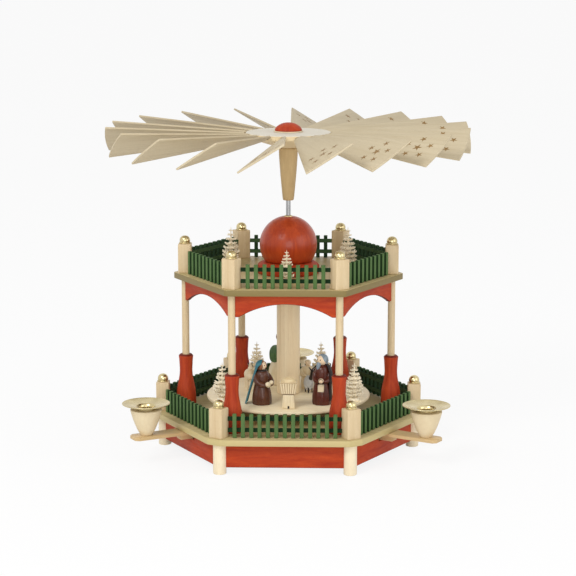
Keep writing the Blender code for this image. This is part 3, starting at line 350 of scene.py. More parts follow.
def marked_for_tone_and_painted_light(mesh, test):
    """The mesh with faces marked for the wood's extra tint: its own tone on some pieces, painted shade and
    light on others.
    """
    marks = mesh.attributes.new("tone_and_painted_light", "FLOAT", "FACE")
    for face, mark in zip(mesh.polygons, marks.data):
        mark.value = float(test(face.normal, face.center))
    return mesh


def together(*meshes):
    """Several meshes as one."""
    whole = bmesh.new()
    for mesh in meshes:
        whole.from_mesh(mesh)
    made = bpy.data.meshes.new("together")
    whole.to_mesh(made)
    whole.free()
    return made


def polar(radius, degrees, height=0.0):
    """A point at a radius and an angle from the middle of the carousel."""
    turn = math.radians(degrees)
    return Vector((radius * math.cos(turn), radius * math.sin(turn), height))


def hexagon(reach, cut):
    """The outline of a hexagonal board with its corners cut."""
    outline = []
    for corner in range(6):
        here = polar(reach, 60 * corner)
        for other in (polar(reach, 60 * corner - 60), polar(reach, 60 * corner + 60)):
            outline.append((here + (other - here).normalized() * cut)[:2])
    return outline


for deck_name, reach, cut, top, side_grain_and_shade in DECKS:
    deck_wood = wood(
        f"{deck_name}_deck_hardwood", (0.6, 0.49, 0.26), (0.46, 0.36, 0.16), along=(0.05, 1, 1),
        roughness=0.45, coat=0.05, tone_and_painted_light=side_grain_and_shade,
    )
    slab = marked_for_tone_and_painted_light(board(hexagon(reach, cut), top - DECK_THICK, top), lambda normal, centre: normal.z < 0.5)
    finish(f"{deck_name}_deck_board", ring(slab, deck_wood), "stand", [f"{deck_name}_deck"])

# Six short dowels are the feet, and red-stained boards close the sides between them.
# Three boards are notched at the top, where the candle arms slide out under the deck.
FOOT_RING = 0.1372
FOOT_TOP = 0.0329
SKIRT_LOW = 0.007
SKIRT_HIGH = 0.0328
SKIRT_THICK = 0.004
SKIRT_HALF = FOOT_RING / 2 - 0.0064
SKIRT_PLACE = FOOT_RING * SIDE_FLATNESS
NOTCH_HALF = 0.0106
NOTCH_SILL = 0.023


def swept(profile, start, sweep, steps, level=0.0):
    """The sheet that a profile of (radius, height) points leaves on its way round the upright axis."""
    build = bmesh.new()
    line = [build.verts.new(polar(radius, start, level + height)) for radius, height in profile]
    edges = [build.edges.new(pair) for pair in zip(line, line[1:])]
    bmesh.ops.spin(build, geom=line + edges, axis=(0, 0, 1), angle=math.radians(sweep), steps=steps)
    return build


def turned(profile, steps=40, level=0.0):
    """A lathe-turned form, from (radius, height) points above a level."""
    return mesh_of(swept(profile, 0, 360, steps, level))


def turn_about(axis, degrees):
    return Matrix.Rotation(math.radians(degrees), 4, axis)


# Maroon tints the marked faces of the red boards and turnings: the boards' undersides and the tops of the
# column bases.
MAROON = (0.13, 0.012, 0.005)
natural_wood = wood(
    "varnished_beech", (0.71, 0.57, 0.36), (0.59, 0.44, 0.25), roughness=0.45, coat=0.08, contrast=0.8
)
red_upright = wood(
    "red_stained_turning", (0.52, 0.068, 0.014), (0.33, 0.028, 0.007), roughness=0.55, tone_and_painted_light=MAROON
)
red_level = wood(
    "red_stained_board", (0.52, 0.064, 0.011), (0.34, 0.028, 0.006), along=(1, 0.1, 0.7), roughness=0.55,
    contrast=1.2, tone_and_painted_light=MAROON,
)
foot_wood = wood("pale_beech", (0.9, 0.8, 0.6), (0.81, 0.69, 0.47), contrast=0.6)
foot = turned([(0, FOOT_TOP), (0.007, FOOT_TOP), (0.007, 0.0009), (0.0067, 0.0003), (0.0061, 0), (0, 0)])
finish("foot_dowels", ring(foot, foot_wood, 6, FOOT_RING), "stand")
STOOD_UP = turn_about("Z", 90) @ turn_about("X", 90)


def side_board(notch=()):
    """A skirting board that stands along one side: local X outwards, local Y along the side."""
    outline = [(-SKIRT_HALF, SKIRT_LOW), (SKIRT_HALF, SKIRT_LOW), (SKIRT_HALF, SKIRT_HIGH)]
    mesh = board([*outline, *notch, (-SKIRT_HALF, SKIRT_HIGH)], -SKIRT_THICK / 2, SKIRT_THICK / 2)
    mesh.transform(STOOD_UP)
    return marked_for_tone_and_painted_light(mesh, lambda normal, centre: normal.z < -0.2 and centre.z < SKIRT_LOW + SKIRT_THICK)


arm_notch = [
    (NOTCH_HALF, SKIRT_HIGH), (NOTCH_HALF, NOTCH_SILL), (-NOTCH_HALF, NOTCH_SILL), (-NOTCH_HALF, SKIRT_HIGH)
]
plain_sides = ring(side_board(), red_level, 3, SKIRT_PLACE, 270)
finish("plain_skirting", plain_sides, "stand", ["skirting"])
notched_sides = ring(side_board(arm_notch), red_level, 3, SKIRT_PLACE, 90)
finish("notched_skirting", notched_sides, "stand")

# Square-cut posts stand on the corners of both decks, each closed by a domed brass nail.
# The nail's collar is a thin ring that sits on the end grain.
POST_RINGS = {"lower": (0.1387, LOWER_DECK_TOP), "upper": (0.113, UPPER_DECK_TOP)}
POST_TALL = 0.0319


def block(low, high, ease=0.0004, segments=2):
    """A rectangular block with rounded edges."""
    size = Vector(high) - Vector(low)
    build = bmesh.new()
    place = Matrix.Translation((Vector(high) + Vector(low)) / 2) @ Matrix.Diagonal((*size, 1))
    bmesh.ops.create_cube(build, size=1, matrix=place)
    if ease:
        edges = build.edges[:]
        bmesh.ops.bevel(build, geom=edges, offset=ease, segments=segments, profile=0.5, affect="EDGES")
    return mesh_of(build)


def metal(name, colour, roughness, tarnish, wear=0.5):
    """Pressed or drawn metal, slightly clouded and finely scratched."""
    material, graph = new_material(name)
    place = graph.node("ShaderNodeTexCoord")["Object"]
    cloud_mask = ((noise(graph, place, 90, 3) - 0.5) * 2.2 + 0.35).clamped()
    scratches = noise(graph, place, 2600, 2)
    clouded = tinted(graph, cloud_mask * wear, (*colour, 1), tarnish)
    worn = cloud_mask * 0.14 + scratches * 0.06 + (roughness - 0.07)
    surfaced(graph, clouded, worn, scratches, 0.04, 0.00008, {"Metallic": 1.0})
    return material


brass = metal("brass", (0.68, 0.57, 0.32), 0.26, (0.4, 0.32, 0.15), wear=0.7)
post = block((-0.0071, -0.008, -0.0002), (0.0071, 0.008, POST_TALL), 0.0011, 3)
dome = [
    (0, 0.0085), (0.0019, 0.0083), (0.0035, 0.0076), (0.0047, 0.0065), (0.0055, 0.005), (0.0058, 0.0034),
    (0.0058, 0.0024), (0.0055, 0.0021), (0.0055, 0.0015), (0.0062, 0.0012), (0.0063, 0.0007), (0.006, 0.0001),
    (0, 0.0001),
]
for deck_name, (post_ring, top) in POST_RINGS.items():
    finish(f"{deck_name}_posts", ring(post, natural_wood, 6, post_ring, 0, top), "stand")
    domes = ring(turned(dome, 28), brass, 6, post_ring, 0, top + POST_TALL)
    finish(f"{deck_name}_finials", domes, "stand", smooth=60)

# The fences are green-stained pickets nailed outside two rails, darker with stain and painted shade,
# ten to a side above and thirteen below. Each picket is a sawn strip, so no two sit quite alike.
PICKET_TALL = 0.0251
PICKET_HALF = 0.0021
PICKET_PITCH = 0.0088
RAIL_LEVELS = (0.0073, 0.0195)
RAIL_HALF_TALL = 0.0021
FENCE_GAP = 0.0004


def loose(graph, number, seed, low=-1.0, high=1.0):
    """A random value for each copy, the same on every making."""
    sockets = {2: low, 3: high, "ID": number, "Seed": seed}
    return graph.node("FunctionNodeRandomValue", {"data_type": "FLOAT"}, sockets)[1]


def row_and_step(number, per_row):
    """The row of a numbered copy, and its place in that row."""
    row = (number / per_row + 0.0001).floor()
    return row, number - row * per_row


def fence_rule(graph, given, number):
    side, step = row_and_step(number, given["Pickets"])
    angle = side * (math.tau / 6) + math.tau / 12
    jitter = loose(graph, number, 11)
    along = (step - (given["Pickets"] - 1) / 2) * given["Pitch"] + jitter * given["Looseness"]
    x = given["Apothem"] * angle.cos() - along * angle.sin()
    y = given["Apothem"] * angle.sin() + along * angle.cos()
    turn = graph.vector(0, 0, angle + jitter * 0.012)
    scale = graph.vector(1, 1, 1 + jitter * 0.008)
    return given["Pickets"] * 6, graph.vector(x, y, given["Level"]), turn, scale


FENCE = copies_tree("fence_pickets", ("Pickets",), ("Pitch", "Apothem", "Level", "Looseness"), fence_rule)
# The pickets' outer faces carry the green stain; the near-black tint on their other faces is painted shade.
picket_green = wood(
    "green_stained_picket", (0.1, 0.175, 0.058), (0.055, 0.12, 0.03), roughness=0.65, pores=0.2,
    tone_and_painted_light=(0.008, 0.034, 0.009),
)
# The rails' dark green is partly stain and partly painted shade from the pickets; their inner faces are
# tinted lighter as painted light.
rail_green = wood(
    "green_rail_with_painted_shade_and_light", (0.01, 0.04, 0.012), (0.005, 0.022, 0.006), along=(1, 0.05, 1), roughness=0.85,
    pores=0.2, tone_and_painted_light=(0.05, 0.1, 0.04),
)
picket = block((-0.0003, -PICKET_HALF, 0), (0.0036, PICKET_HALF, PICKET_TALL), 0.00025, 1)
# All faces but the outer face and the top are marked for the painted shade.
marked_for_tone_and_painted_light(picket, lambda normal, centre: normal.x < 0.5 and normal.z < 0.9)
for deck_name, pickets in (("lower", 13), ("upper", 10)):
    post_ring, top = POST_RINGS[deck_name]
    apothem = post_ring * SIDE_FLATNESS
    level = top + FENCE_GAP
    values = {"Pickets": pickets, "Pitch": PICKET_PITCH, "Apothem": apothem, "Level": level}
    fence = laid_out(picket, picket_green, FENCE, {**values, "Looseness": 0.00012})
    finish(f"{deck_name}_pickets", fence, "stand", [f"{deck_name}_fence"])
    rail_half = post_ring / 2 - 0.0095
    rails = []
    for middle in RAIL_LEVELS:
        low_corner = (-0.0024, -rail_half, middle - RAIL_HALF_TALL)
        rails.append(block(low_corner, (0, rail_half, middle + RAIL_HALF_TALL), 0))
    # The rails' inner faces are marked for the painted light.
    rail_pair = marked_for_tone_and_painted_light(together(*rails), lambda normal, centre: normal.x < -0.5)
    finish(f"{deck_name}_rails", ring(rail_pair, rail_green, 6, apothem, 30, level), "stand")

# Six dowels hold up the upper deck. Each stands in a red-stained turned base with a collar,
# and curved red boards fill the corners between the dowels under the deck.
COLUMN_RING = 0.113
COLUMN_TOP = UPPER_DECK_TOP - DECK_THICK - 0.0002
base_foot = LOWER_DECK_TOP + 0.0003
column_base_profile = [
    (0.0042, 0.0626), (0.006, 0.0628), (0.0064, 0.0626), (0.0079, 0.0611), (0.008, 0.0607), (0.0079, 0.0601),
    (0.0078, 0.0588), (0.0076, 0.0572), (0.0074, 0.0545), (0.0073, 0.0519), (0.0071, 0.0488), (0.007, 0.0466),
    (0.007, 0.0436), (0.0072, 0.0405), (0.0075, 0.0377), (0.008, 0.0347), (0.0086, 0.0318), (0.0092, 0.0288),
    (0.0098, 0.0259), (0.0102, 0.0235), (0.0105, 0.019), (0.0109, 0.014), (0.0111, 0.0085), (0.0112, 0.003),
    (0.0112, 0.0008), (0.0109, 0.0001), (0.0042, 0.0001),
]
base_names = [f"column_base_{number}" for number in range(1, 7)]
base_turning = marked_for_tone_and_painted_light(turned(column_base_profile, 36), lambda normal, centre: centre.z > 0.061)
bases = ring(base_turning, red_upright, 6, COLUMN_RING, 0, base_foot)
finish("column_bases", bases, "stand", base_names, smooth=50)
column = turned([(0, COLUMN_TOP), (0.004, COLUMN_TOP), (0.004, base_foot), (0, base_foot)], 28)
finish("column_dowels", ring(column, natural_wood, 6, COLUMN_RING), "stand")
ARCH_HALF = COLUMN_RING / 2 - 0.0038
ARCH_DROP = 0.0236
ARCH_RISE = 0.0138


def arch_outline():
    """A straight top edge, short legs at the ends and a curve that rises between them."""
    chord = ARCH_HALF - 0.004
    radius = (chord**2 + ARCH_RISE**2) / (2 * ARCH_RISE)
    spread = math.asin(chord / radius)
    outline = [(-ARCH_HALF, 0), (-ARCH_HALF, -ARCH_DROP)]
    for step in range(33):
        lean = spread * (step / 16 - 1)
        outline.append((radius * math.sin(lean), ARCH_RISE - radius - ARCH_DROP + radius * math.cos(lean)))
    return outline + [(ARCH_HALF, -ARCH_DROP), (ARCH_HALF, 0)]


arch = board(arch_outline(), -0.002, 0.002)
arch.transform(STOOD_UP)
marked_for_tone_and_painted_light(arch, lambda normal, centre: normal.z < -0.2)
arches = ring(arch, red_level, 6, COLUMN_RING * SIDE_FLATNESS, 30, COLUMN_TOP)
finish("arch_boards", arches, "stand", ["arcade"])

# A large red ball on a low round base covers the upper bearing of the spindle.
# A brass bush is let into the dimple in its top.
BALL_CENTRE = 0.2258
BALL_RADIUS = 0.0313
BALL_DIMPLE = 0.0072


def levels(part):
    """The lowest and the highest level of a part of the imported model."""
    return [corner.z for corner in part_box(part)]


ball_low, ball_high = levels("ball")
ball_profile = [(0.0026, ball_high - 0.001), (0.0046, ball_high - 0.0003), (0.0058, ball_high - 0.0001)]
ball_start = math.asin(BALL_DIMPLE / BALL_RADIUS)
ball_end = math.acos((ball_low - BALL_CENTRE) / BALL_RADIUS)
for step in range(29):
    lean = ball_start + (ball_end - ball_start) * step / 28
    ball_profile.append((BALL_RADIUS * math.sin(lean), BALL_CENTRE + BALL_RADIUS * math.cos(lean)))
ball_profile.append((0.0026, ball_low))
red_gloss = wood("red_lacquered_ball", (0.53, 0.07, 0.012), (0.34, 0.03, 0.005), roughness=0.35, coat=0.3)
finish("red_ball", ring(turned(ball_profile, 64), red_gloss), "stand", ["ball"], smooth=60)
plinth_profile = [
    (0.0026, 0.0126), (0.0262, 0.0126), (0.0282, 0.0122), (0.0306, 0.0112), (0.0326, 0.0098),
    (0.0337, 0.0082), (0.034, 0.0066), (0.034, 0.0012), (0.0335, 0.0002), (0.0026, 0),
]
plinth = turned(plinth_profile, 64, levels("ball_base")[0])
finish("ball_plinth", ring(plinth, red_upright), "stand", ["ball_base"], smooth=50)
bush_low, bush_high = levels("spindle_bush")
bush_profile = [
    (0.0028, bush_low), (0.0028, bush_high), (0.0034, bush_high + 0.0003), (0.0042, bush_high),
    (0.0044, bush_high - 0.0003), (0.0044, bush_low), (0.0028, bush_low),
]
finish("top_bush", ring(turned(bush_profile, 32), brass), "stand", ["spindle_bush"], smooth=50)

# The spindle is a polished steel rod; its handle is a long turned taper pushed over it.
# The flat hub above has eighteen slanted slots and a red domed cap on a thin pale washer.
steel = metal("ground_steel", (0.4, 0.4, 0.4), 0.3, (0.25, 0.25, 0.26))
rod_low, rod_high = levels("spindle")
rod_profile = [
    (0, rod_high), (0.0021, rod_high), (0.0025, rod_high - 0.0004), (0.0025, rod_low + 0.003), (0, rod_low)
]
finish("spindle_rod", ring(turned(rod_profile, 32), steel), "carousel", ["spindle"])
pale_wood = wood(
    "bare_limewood", (0.8, 0.7, 0.51), (0.68, 0.555, 0.36), roughness=0.62, contrast=0.7, pores=0.3
)
handle_wood = wood("oiled_beech", (0.58, 0.42, 0.21), (0.47, 0.32, 0.15))
handle_low, handle_high = levels("hub_handle")
handle_profile = [
    (0.0004, handle_high), (0.0092, handle_high), (0.0101, handle_high - 0.0009),
    (0.0103, handle_high - 0.0022), (0.0101, handle_high - 0.009), (0.0095, handle_high - 0.018),
    (0.0085, handle_high - 0.031), (0.0073, handle_high - 0.044), (0.0063, handle_low + 0.003),
    (0.0059, handle_low + 0.0006), (0.0054, handle_low), (0.0027, handle_low),
]
handle = ring(turned(handle_profile, 40), handle_wood)
finish("hub_handle_taper", handle, "carousel", ["hub_handle"], smooth=50)
HUB_REACH = 0.046
HUB_LOW, HUB_HIGH = levels("rotor_hub")
BLADE_COUNT = 18
BLADE_LEVEL = HUB_HIGH - 0.0026
BLADE_PHASE = 3.7
BLADE_THICK = 0.002
BLADE_LEAN = Matrix.Translation((HUB_REACH, 0, 0)) @ turn_about("Y", 1.6)
BLADE_LEAN = BLADE_LEAN @ turn_about("X", 31.4) @ Matrix.Translation((-HUB_REACH, 0, 0))


def carved(mesh, cutter):
    """The mesh with the cutter's space taken out of it."""
    blank = in_scene("blank", mesh)
    tool = in_scene("tool", cutter)
    cut = blank.modifiers.new("cut", "BOOLEAN")
    cut.operation = "DIFFERENCE"
    cut.solver = "EXACT"
    cut.object = tool
    made = evaluated(blank)
    blank.modifiers.remove(cut)
    for item in (blank, tool):
        bpy.data.objects.remove(item)
    return made


hub_profile = [
    (0, HUB_HIGH), (HUB_REACH - 0.0006, HUB_HIGH), (HUB_REACH, HUB_HIGH - 0.0006),
    (HUB_REACH, HUB_HIGH - 0.0048), (HUB_REACH - 0.0007, HUB_HIGH - 0.0056), (0.0125, HUB_LOW + 0.0006),
    (0.0112, HUB_LOW), (0, HUB_LOW),
]
slot = block((HUB_REACH - 0.0083, -0.0021, -0.0013), (HUB_REACH + 0.001, 0.0021, 0.0013), 0)
slot.transform(BLADE_LEAN)
slots = ring(slot, None, BLADE_COUNT, 0, BLADE_PHASE, BLADE_LEVEL)
# The hub's greyish white is pale wood with a painted sheen; its sides and underside take the wood's own
# yellow.
hub_wood = wood(
    "pale_hub_with_painted_sheen", (0.79, 0.75, 0.65), (0.66, 0.6, 0.48), along=(0.05, 1, 1), roughness=0.6, contrast=0.6,
    tone_and_painted_light=(0.74, 0.58, 0.33),
)
hub = marked_for_tone_and_painted_light(carved(turned(hub_profile, 96), slots), lambda normal, centre: normal.z < 0.5)
finish("slotted_hub", ring(hub, hub_wood), "carousel", ["rotor_hub"], smooth=30)
cap_low = levels("hub_cap")[0]
washer = turned([(0, 0.0011), (0.0155, 0.0011), (0.0155, 0), (0, 0)], 48, cap_low)
finish("cap_washer", ring(washer, pale_wood), "carousel")
cap_profile = [
    (0, 0.0098), (0.003, 0.0097), (0.0056, 0.0092), (0.0082, 0.0083), (0.0105, 0.007), (0.0125, 0.0055),
    (0.0139, 0.004), (0.0147, 0.0025), (0.01475, 0.0019), (0.0144, 0.0012), (0, 0.0011),
]
cap = ring(turned(cap_profile, 48, cap_low), red_upright)
finish("red_hub_cap", cap, "carousel", ["hub_cap"], smooth=60)

# Eighteen thin limewood vanes are glued into the hub at a slant, so that warm air turns them.
# A cluster of small gold-brown stars is printed near the outer end of each upper face.
ROTOR_REACH = 0.1972
VANE_HALF = 0.0276
VANE_TONGUE = HUB_REACH - 0.008
VANE_SHOULDER = HUB_REACH + 0.0015


def vane_outline():
    """A narrow tongue that fits the slot, then a blade that widens to a curved outer end."""
    spread = math.degrees(math.asin(VANE_HALF / ROTOR_REACH))
    outline = [(VANE_TONGUE, -0.0018), (VANE_SHOULDER, -0.0018), (VANE_SHOULDER, -0.0045)]
    for step in range(17):
        outline.append(polar(ROTOR_REACH, spread * (step / 8 - 1))[:2])
    return outline + [(VANE_SHOULDER, 0.0045), (VANE_SHOULDER, 0.0018), (VANE_TONGUE, 0.0018)]


vane = board(vane_outline(), -BLADE_THICK / 2, BLADE_THICK / 2, 0.0003)
vane.transform(BLADE_LEAN)
vane_wood = wood(
    "limewood_vane", (0.62, 0.53, 0.37), (0.52, 0.43, 0.28), along=(0.05, 1, 1), roughness=0.6, contrast=0.8
)
blade_names = [f"rotor_blade_{number:02}" for number in range(1, BLADE_COUNT + 1)]
vanes = ring(vane, vane_wood, BLADE_COUNT, 0, BLADE_PHASE, BLADE_LEVEL)
finish("rotor_vanes", vanes, "carousel", blade_names, smooth=30)


def star(middle, reach, turn):
    """A five-pointed star, a breath of print thick, on the upper face of a vane."""
    rim = []
    for point in range(10):
        spoke = reach if point % 2 == 0 else reach * 0.36
        rim.append((middle + polar(spoke, 36 * point + turn))[:2])
    return board(rim, BLADE_THICK / 2, BLADE_THICK / 2 + 0.00008, 0)


STAR_MIDDLE = Vector((0.1685, 0, 0))
stars = [star(STAR_MIDDLE, 0.0056, 6)]
for turn in (20, 92, 164, 236, 308):
    stars.append(star(STAR_MIDDLE + polar(0.0142, turn), 0.0043, 3 * turn))
star_cluster = together(*stars)
star_cluster.transform(BLADE_LEAN)


def paint(name, colour, shade, roughness=0.35, coat=0.4, mottle=260):
    """Brushed lacquer: colour gathers unevenly and the brush leaves faint streaks."""
    material, graph = new_material(name)
    place = graph.node("ShaderNodeTexCoord")["Object"]
    streak = {0: place, 1: (1, 1, 0.35)}
    brush_place = graph.node("ShaderNodeVectorMath", {"operation": "MULTIPLY"}, streak)[0]
    pool_mask = ((noise(graph, brush_place, mottle, 3) - 0.5) * 2.5 + 0.4).clamped()
    hairs = noise(graph, brush_place, mottle * 9, 2)
    pooled = tinted(graph, pool_mask * 0.8, (*colour, 1), shade)
    brushed = pool_mask * 0.1 + hairs * 0.1 + (roughness - 0.08)
    fixed = {"Specular IOR Level": 0.25, "Coat Weight": coat, "Coat Roughness": 0.15}
    surfaced(graph, pooled, brushed, hairs, 0.25, 0.0001, fixed)
    return material


star_print = paint("star_print", (0.28, 0.16, 0.045), (0.2, 0.11, 0.028), roughness=0.5, coat=0.1)
printed = ring(star_cluster, star_print, BLADE_COUNT, 0, BLADE_PHASE, BLADE_LEVEL)
finish("printed_stars", printed, "carousel", smooth=0)

# The turntable is a thin plate with a rounded edge on a boss, running on a point in a brass cup.
# A thick dowel stands in its middle and hides the spindle.
PLATE_TOP = 0.0596
PLATE_REACH = 0.0899
boss_low = levels("turntable")[0]
plate_profile = [
    (0.0028, PLATE_TOP), (PLATE_REACH - 0.0012, PLATE_TOP), (PLATE_REACH - 0.0004, PLATE_TOP - 0.0003),
    (PLATE_REACH, PLATE_TOP - 0.0011), (PLATE_REACH, PLATE_TOP - 0.0026),
    (PLATE_REACH - 0.0004, PLATE_TOP - 0.0033), (PLATE_REACH - 0.0012, PLATE_TOP - 0.0036),
    (0.014, PLATE_TOP - 0.0036), (0.0138, boss_low), (0.0028, boss_low),
]
plate_wood = wood("turntable_beech", (0.97, 0.86, 0.61), (0.9, 0.76, 0.5), along=(0.05, 1, 1), coat=0.1)
plate = ring(turned(plate_profile, 128), plate_wood)
finish("turntable_plate", plate, "carousel", ["turntable"])
dowel_low, dowel_high = levels("centre_column")
dowel_profile = [
    (0.0028, dowel_high), (0.0123, dowel_high), (0.0127, dowel_high - 0.0004), (0.0127, dowel_low + 0.0003),
    (0.0124, dowel_low), (0.0028, dowel_low),
]
# The centre dowel is coloured paler than the other beech as painted fill light, for the shade it stands in
# under the upper deck.
dowel_wood_painted_light = wood(
    "striped_beech_dowel_painted_light", (0.97, 0.82, 0.56), (0.82, 0.63, 0.38), along=(1, 1, 0.03), roughness=0.45
)
dowel = ring(turned(dowel_profile, 48), dowel_wood_painted_light)
finish("centre_dowel", dowel, "carousel", ["centre_column"])
bearing_profile = [
    (0, 0.0014), (0.0038, 0.0048), (0.0043, 0.0052), (0.0056, 0.0052), (0.006, 0.005), (0.007, 0.0015),
    (0.007, 0.0002), (0, 0),
]
bearing = turned(bearing_profile, 40, levels("bearing_cup")[0])
finish("spindle_bearing", ring(bearing, brass), "stand", ["bearing_cup"], smooth=40)

# Seven little trees are shaved from limewood rods: curls of wood are cut up round a spike,
# tier above tier, and left hanging from it. Each stands on a small turned foot.
TREE_FOOT = 0.0035


def curl(length, width, thick):
    """One shaving: a pointed ribbon that droops from the spike and turns up again at its tip."""
    build = bmesh.new()
    rows = []
    at = Vector((0.0005, 0, 0))
    steps = 12
    for step in range(steps + 1):
        share = step / steps
        lean = math.radians(-24 + 92 * share**1.8)
        across = width / 2 * (1 - 0.8 * share)
        normal = Vector((-math.sin(lean), 0, math.cos(lean))) * thick / 2
        corners = []
        for side, lift in ((-1, 1), (1, 1), (1, -1), (-1, -1)):
            corners.append(build.verts.new(at + Vector((0, side * across, 0)) + normal * lift))
        rows.append(corners)
        at = at + Vector((math.cos(lean), 0, math.sin(lean))) * length / steps
    for row, beyond in zip(rows, rows[1:]):
        for corner in range(4):
            around = (corner + 1) % 4
            build.faces.new((row[corner], row[around], beyond[around], beyond[corner]))
    build.faces.new(rows[0])
    build.faces.new(rows[-1])
    return mesh_of(build)


def tier_rule(graph, given, number):
    tier, step = row_and_step(number, given["Curls"])
    sway = loose(graph, number, given["Seed"])
    share = (tier + 0.75 + sway * 0.05) / given["Tiers"]
    angle = (step + tier * 0.5 + sway * 0.35) * math.tau / given["Curls"]
    grown = (share * 1.25 + 0.12).clamped() * (1 + sway * 0.08) * given["Reach"] / 0.01
    level = given["Height"] - (given["Height"] - given["Foot"]) * share
    turn = graph.vector(sway * 0.2, sway * 0.12, angle)
    spot = graph.vector(angle.cos() * 0.0004, angle.sin() * 0.0004, level)
    return given["Curls"] * given["Tiers"], spot, turn, graph.vector(grown, grown * 0.9, grown)


SHAVINGS = copies_tree("tree_shavings", ("Tiers", "Curls", "Seed"), ("Height", "Foot", "Reach"), tier_rule)
shaved_wood = wood(
    "shaved_limewood", (0.97, 0.9, 0.74), (0.9, 0.8, 0.6), roughness=0.65, contrast=0.6, pores=0.2
)
one_curl = curl(0.0112, 0.0068, 0.0014)


def shaved_tree(name, body, place, height, reach, seed):
    """One tree: tiers of curls on a spike, with its turned foot, set down at its place."""
    values = {"Tiers": 8, "Curls": 17, "Height": height - 0.001, "Foot": 0.007, "Reach": reach, "Seed": seed}
    crown = laid_out(one_curl, shaved_wood, SHAVINGS, values)
    spike = [
        (0, height), (0.0006, height - 0.004), (0.0011, height / 2), (0.0015, TREE_FOOT + 0.002),
        (0.0017, TREE_FOOT), (0.0052, TREE_FOOT), (0.006, TREE_FOOT - 0.0006), (0.0062, 0.0006), (0.0058, 0),
        (0, 0),
    ]
    mesh = together(crown, ring(turned(spike, 20), shaved_wood))
    mesh.materials.append(shaved_wood)
    mesh.transform(Matrix.Translation(place))
    finish(name, mesh, body)


shaved_tree("back_tree_1", "stand", polar(0.075, 30, UPPER_DECK_TOP), 0.0452, 0.0086, 3)
shaved_tree("back_tree_2", "stand", polar(0.075, 150, UPPER_DECK_TOP), 0.0452, 0.0086, 5)
shaved_tree("front_tree", "stand", polar(0.0576, 270, UPPER_DECK_TOP), 0.0352, 0.007, 8)
for number, angle in enumerate((64, 118.4, 208, 335), start=1):
    place = polar(0.08, angle, PLATE_TOP)
    shaved_tree(f"table_tree_{number}", "carousel", place, 0.0427, 0.0086, 20 + number)

# Each candle arm is a flat strip that slides in a channel glued under the lower deck.
# A turned wooden cup stands near its outer end and takes the socket of a pressed brass pan.
CUP_PLACE = 0.172
ARM_OUTER = CUP_PLACE + 0.0162
ARM_INNER = ARM_OUTER - 0.1157
ARM_LOW = 0.0292
ARM_HIGH = 0.0328
GUIDE_LOW = 0.0233
GUIDE_FLOOR = 0.0289
GUIDE_HIGH = LOWER_DECK_TOP - DECK_THICK
GUIDE_OUTER = 0.1165


def mirrored(half):
    """A whole outline from its half at positive X."""
    return half + [(-x, y) for x, y in reversed(half)]


channel_half = [(0.014, GUIDE_LOW), (0.014, GUIDE_HIGH), (0.0103, GUIDE_HIGH), (0.0103, GUIDE_FLOOR)]
channel = board(mirrored(channel_half), GUIDE_OUTER - 0.033, GUIDE_OUTER, 0.0003)
channel.transform(STOOD_UP)
tongue = block((GUIDE_OUTER - 0.003, -0.0052, GUIDE_LOW), (GUIDE_OUTER + 0.0174, 0.0052, GUIDE_FLOOR))
level_beech = wood(
    "beech_strip", (0.68, 0.5, 0.27), (0.56, 0.39, 0.19), along=(0.05, 1, 1), roughness=0.45, coat=0.1
)
finish("arm_guides", ring(together(channel, tongue), level_beech, 3, 0, 90), "stand")
strip_outline = [
    (ARM_INNER, -0.01), (ARM_OUTER - 0.0038, -0.01), (ARM_OUTER, -0.0062), (ARM_OUTER, 0.0062),
    (ARM_OUTER - 0.0038, 0.01), (ARM_INNER, 0.01),
]
strip = board(strip_outline, ARM_LOW, ARM_HIGH, 0.0004)
cup_profile = [
    (0, 0.0146), (0.0098, 0.0146), (0.0098, 0.0281), (0.016, 0.0281), (0.0167, 0.0278), (0.0169, 0.0271),
    (0.0166, 0.0258), (0.0157, 0.0225), (0.0147, 0.019), (0.0135, 0.0155), (0.0119, 0.0112), (0.0101, 0.007),
    (0.0086, 0.004), (0.0073, 0.002), (0.0066, 0.0009), (0.0063, 0.0003), (0.006, 0), (0, 0),
]
cup = turned(cup_profile, 56, ARM_HIGH + 0.0003)
cup_wood = wood("beech_cup", (0.8, 0.68, 0.46), (0.7, 0.57, 0.36), contrast=0.6)
pan_profile = [
    (0, -0.0112), (0.0087, -0.0112), (0.0087, -0.0006), (0.0089, 0.0006), (0.0096, 0.0018), (0.0101, 0.0026),
    (0.0108, 0.0031), (0.0116, 0.0032), (0.0122, 0.0033), (0.016, 0.0038), (0.0205, 0.0047), (0.0235, 0.0055),
    (0.0248, 0.006), (0.0252, 0.0062), (0.0255, 0.0061), (0.0256, 0.0057), (0.0254, 0.0054), (0.024, 0.005),
    (0.0205, 0.004), (0.0165, 0.0032), (0.0128, 0.0026), (0.0119, 0.0023), (0.0118, 0.0018), (0.0118, 0),
    (0.0095, 0), (0.0095, -0.012), (0, -0.012),
]
pan = turned(pan_profile, 64, levels("drip_pan_1")[0] + 0.012)
for number, (side, angle) in enumerate((("back", 90), ("left", 210), ("right", 330)), start=1):
    body = f"candle_arm_{side}"
    strip_here = ring(strip, level_beech, 1, 0, angle)
    finish(f"arm_strip_{side}", strip_here, body, [f"candle_arm_{number}"])
    cup_here = ring(cup, cup_wood, 1, CUP_PLACE, angle)
    finish(f"cup_{side}", cup_here, body, [f"candle_cup_{number}"])
    pan_here = ring(pan, brass, 1, CUP_PLACE, angle)
    finish(f"pan_{side}", pan_here, body, [f"drip_pan_{number}"], smooth=60)

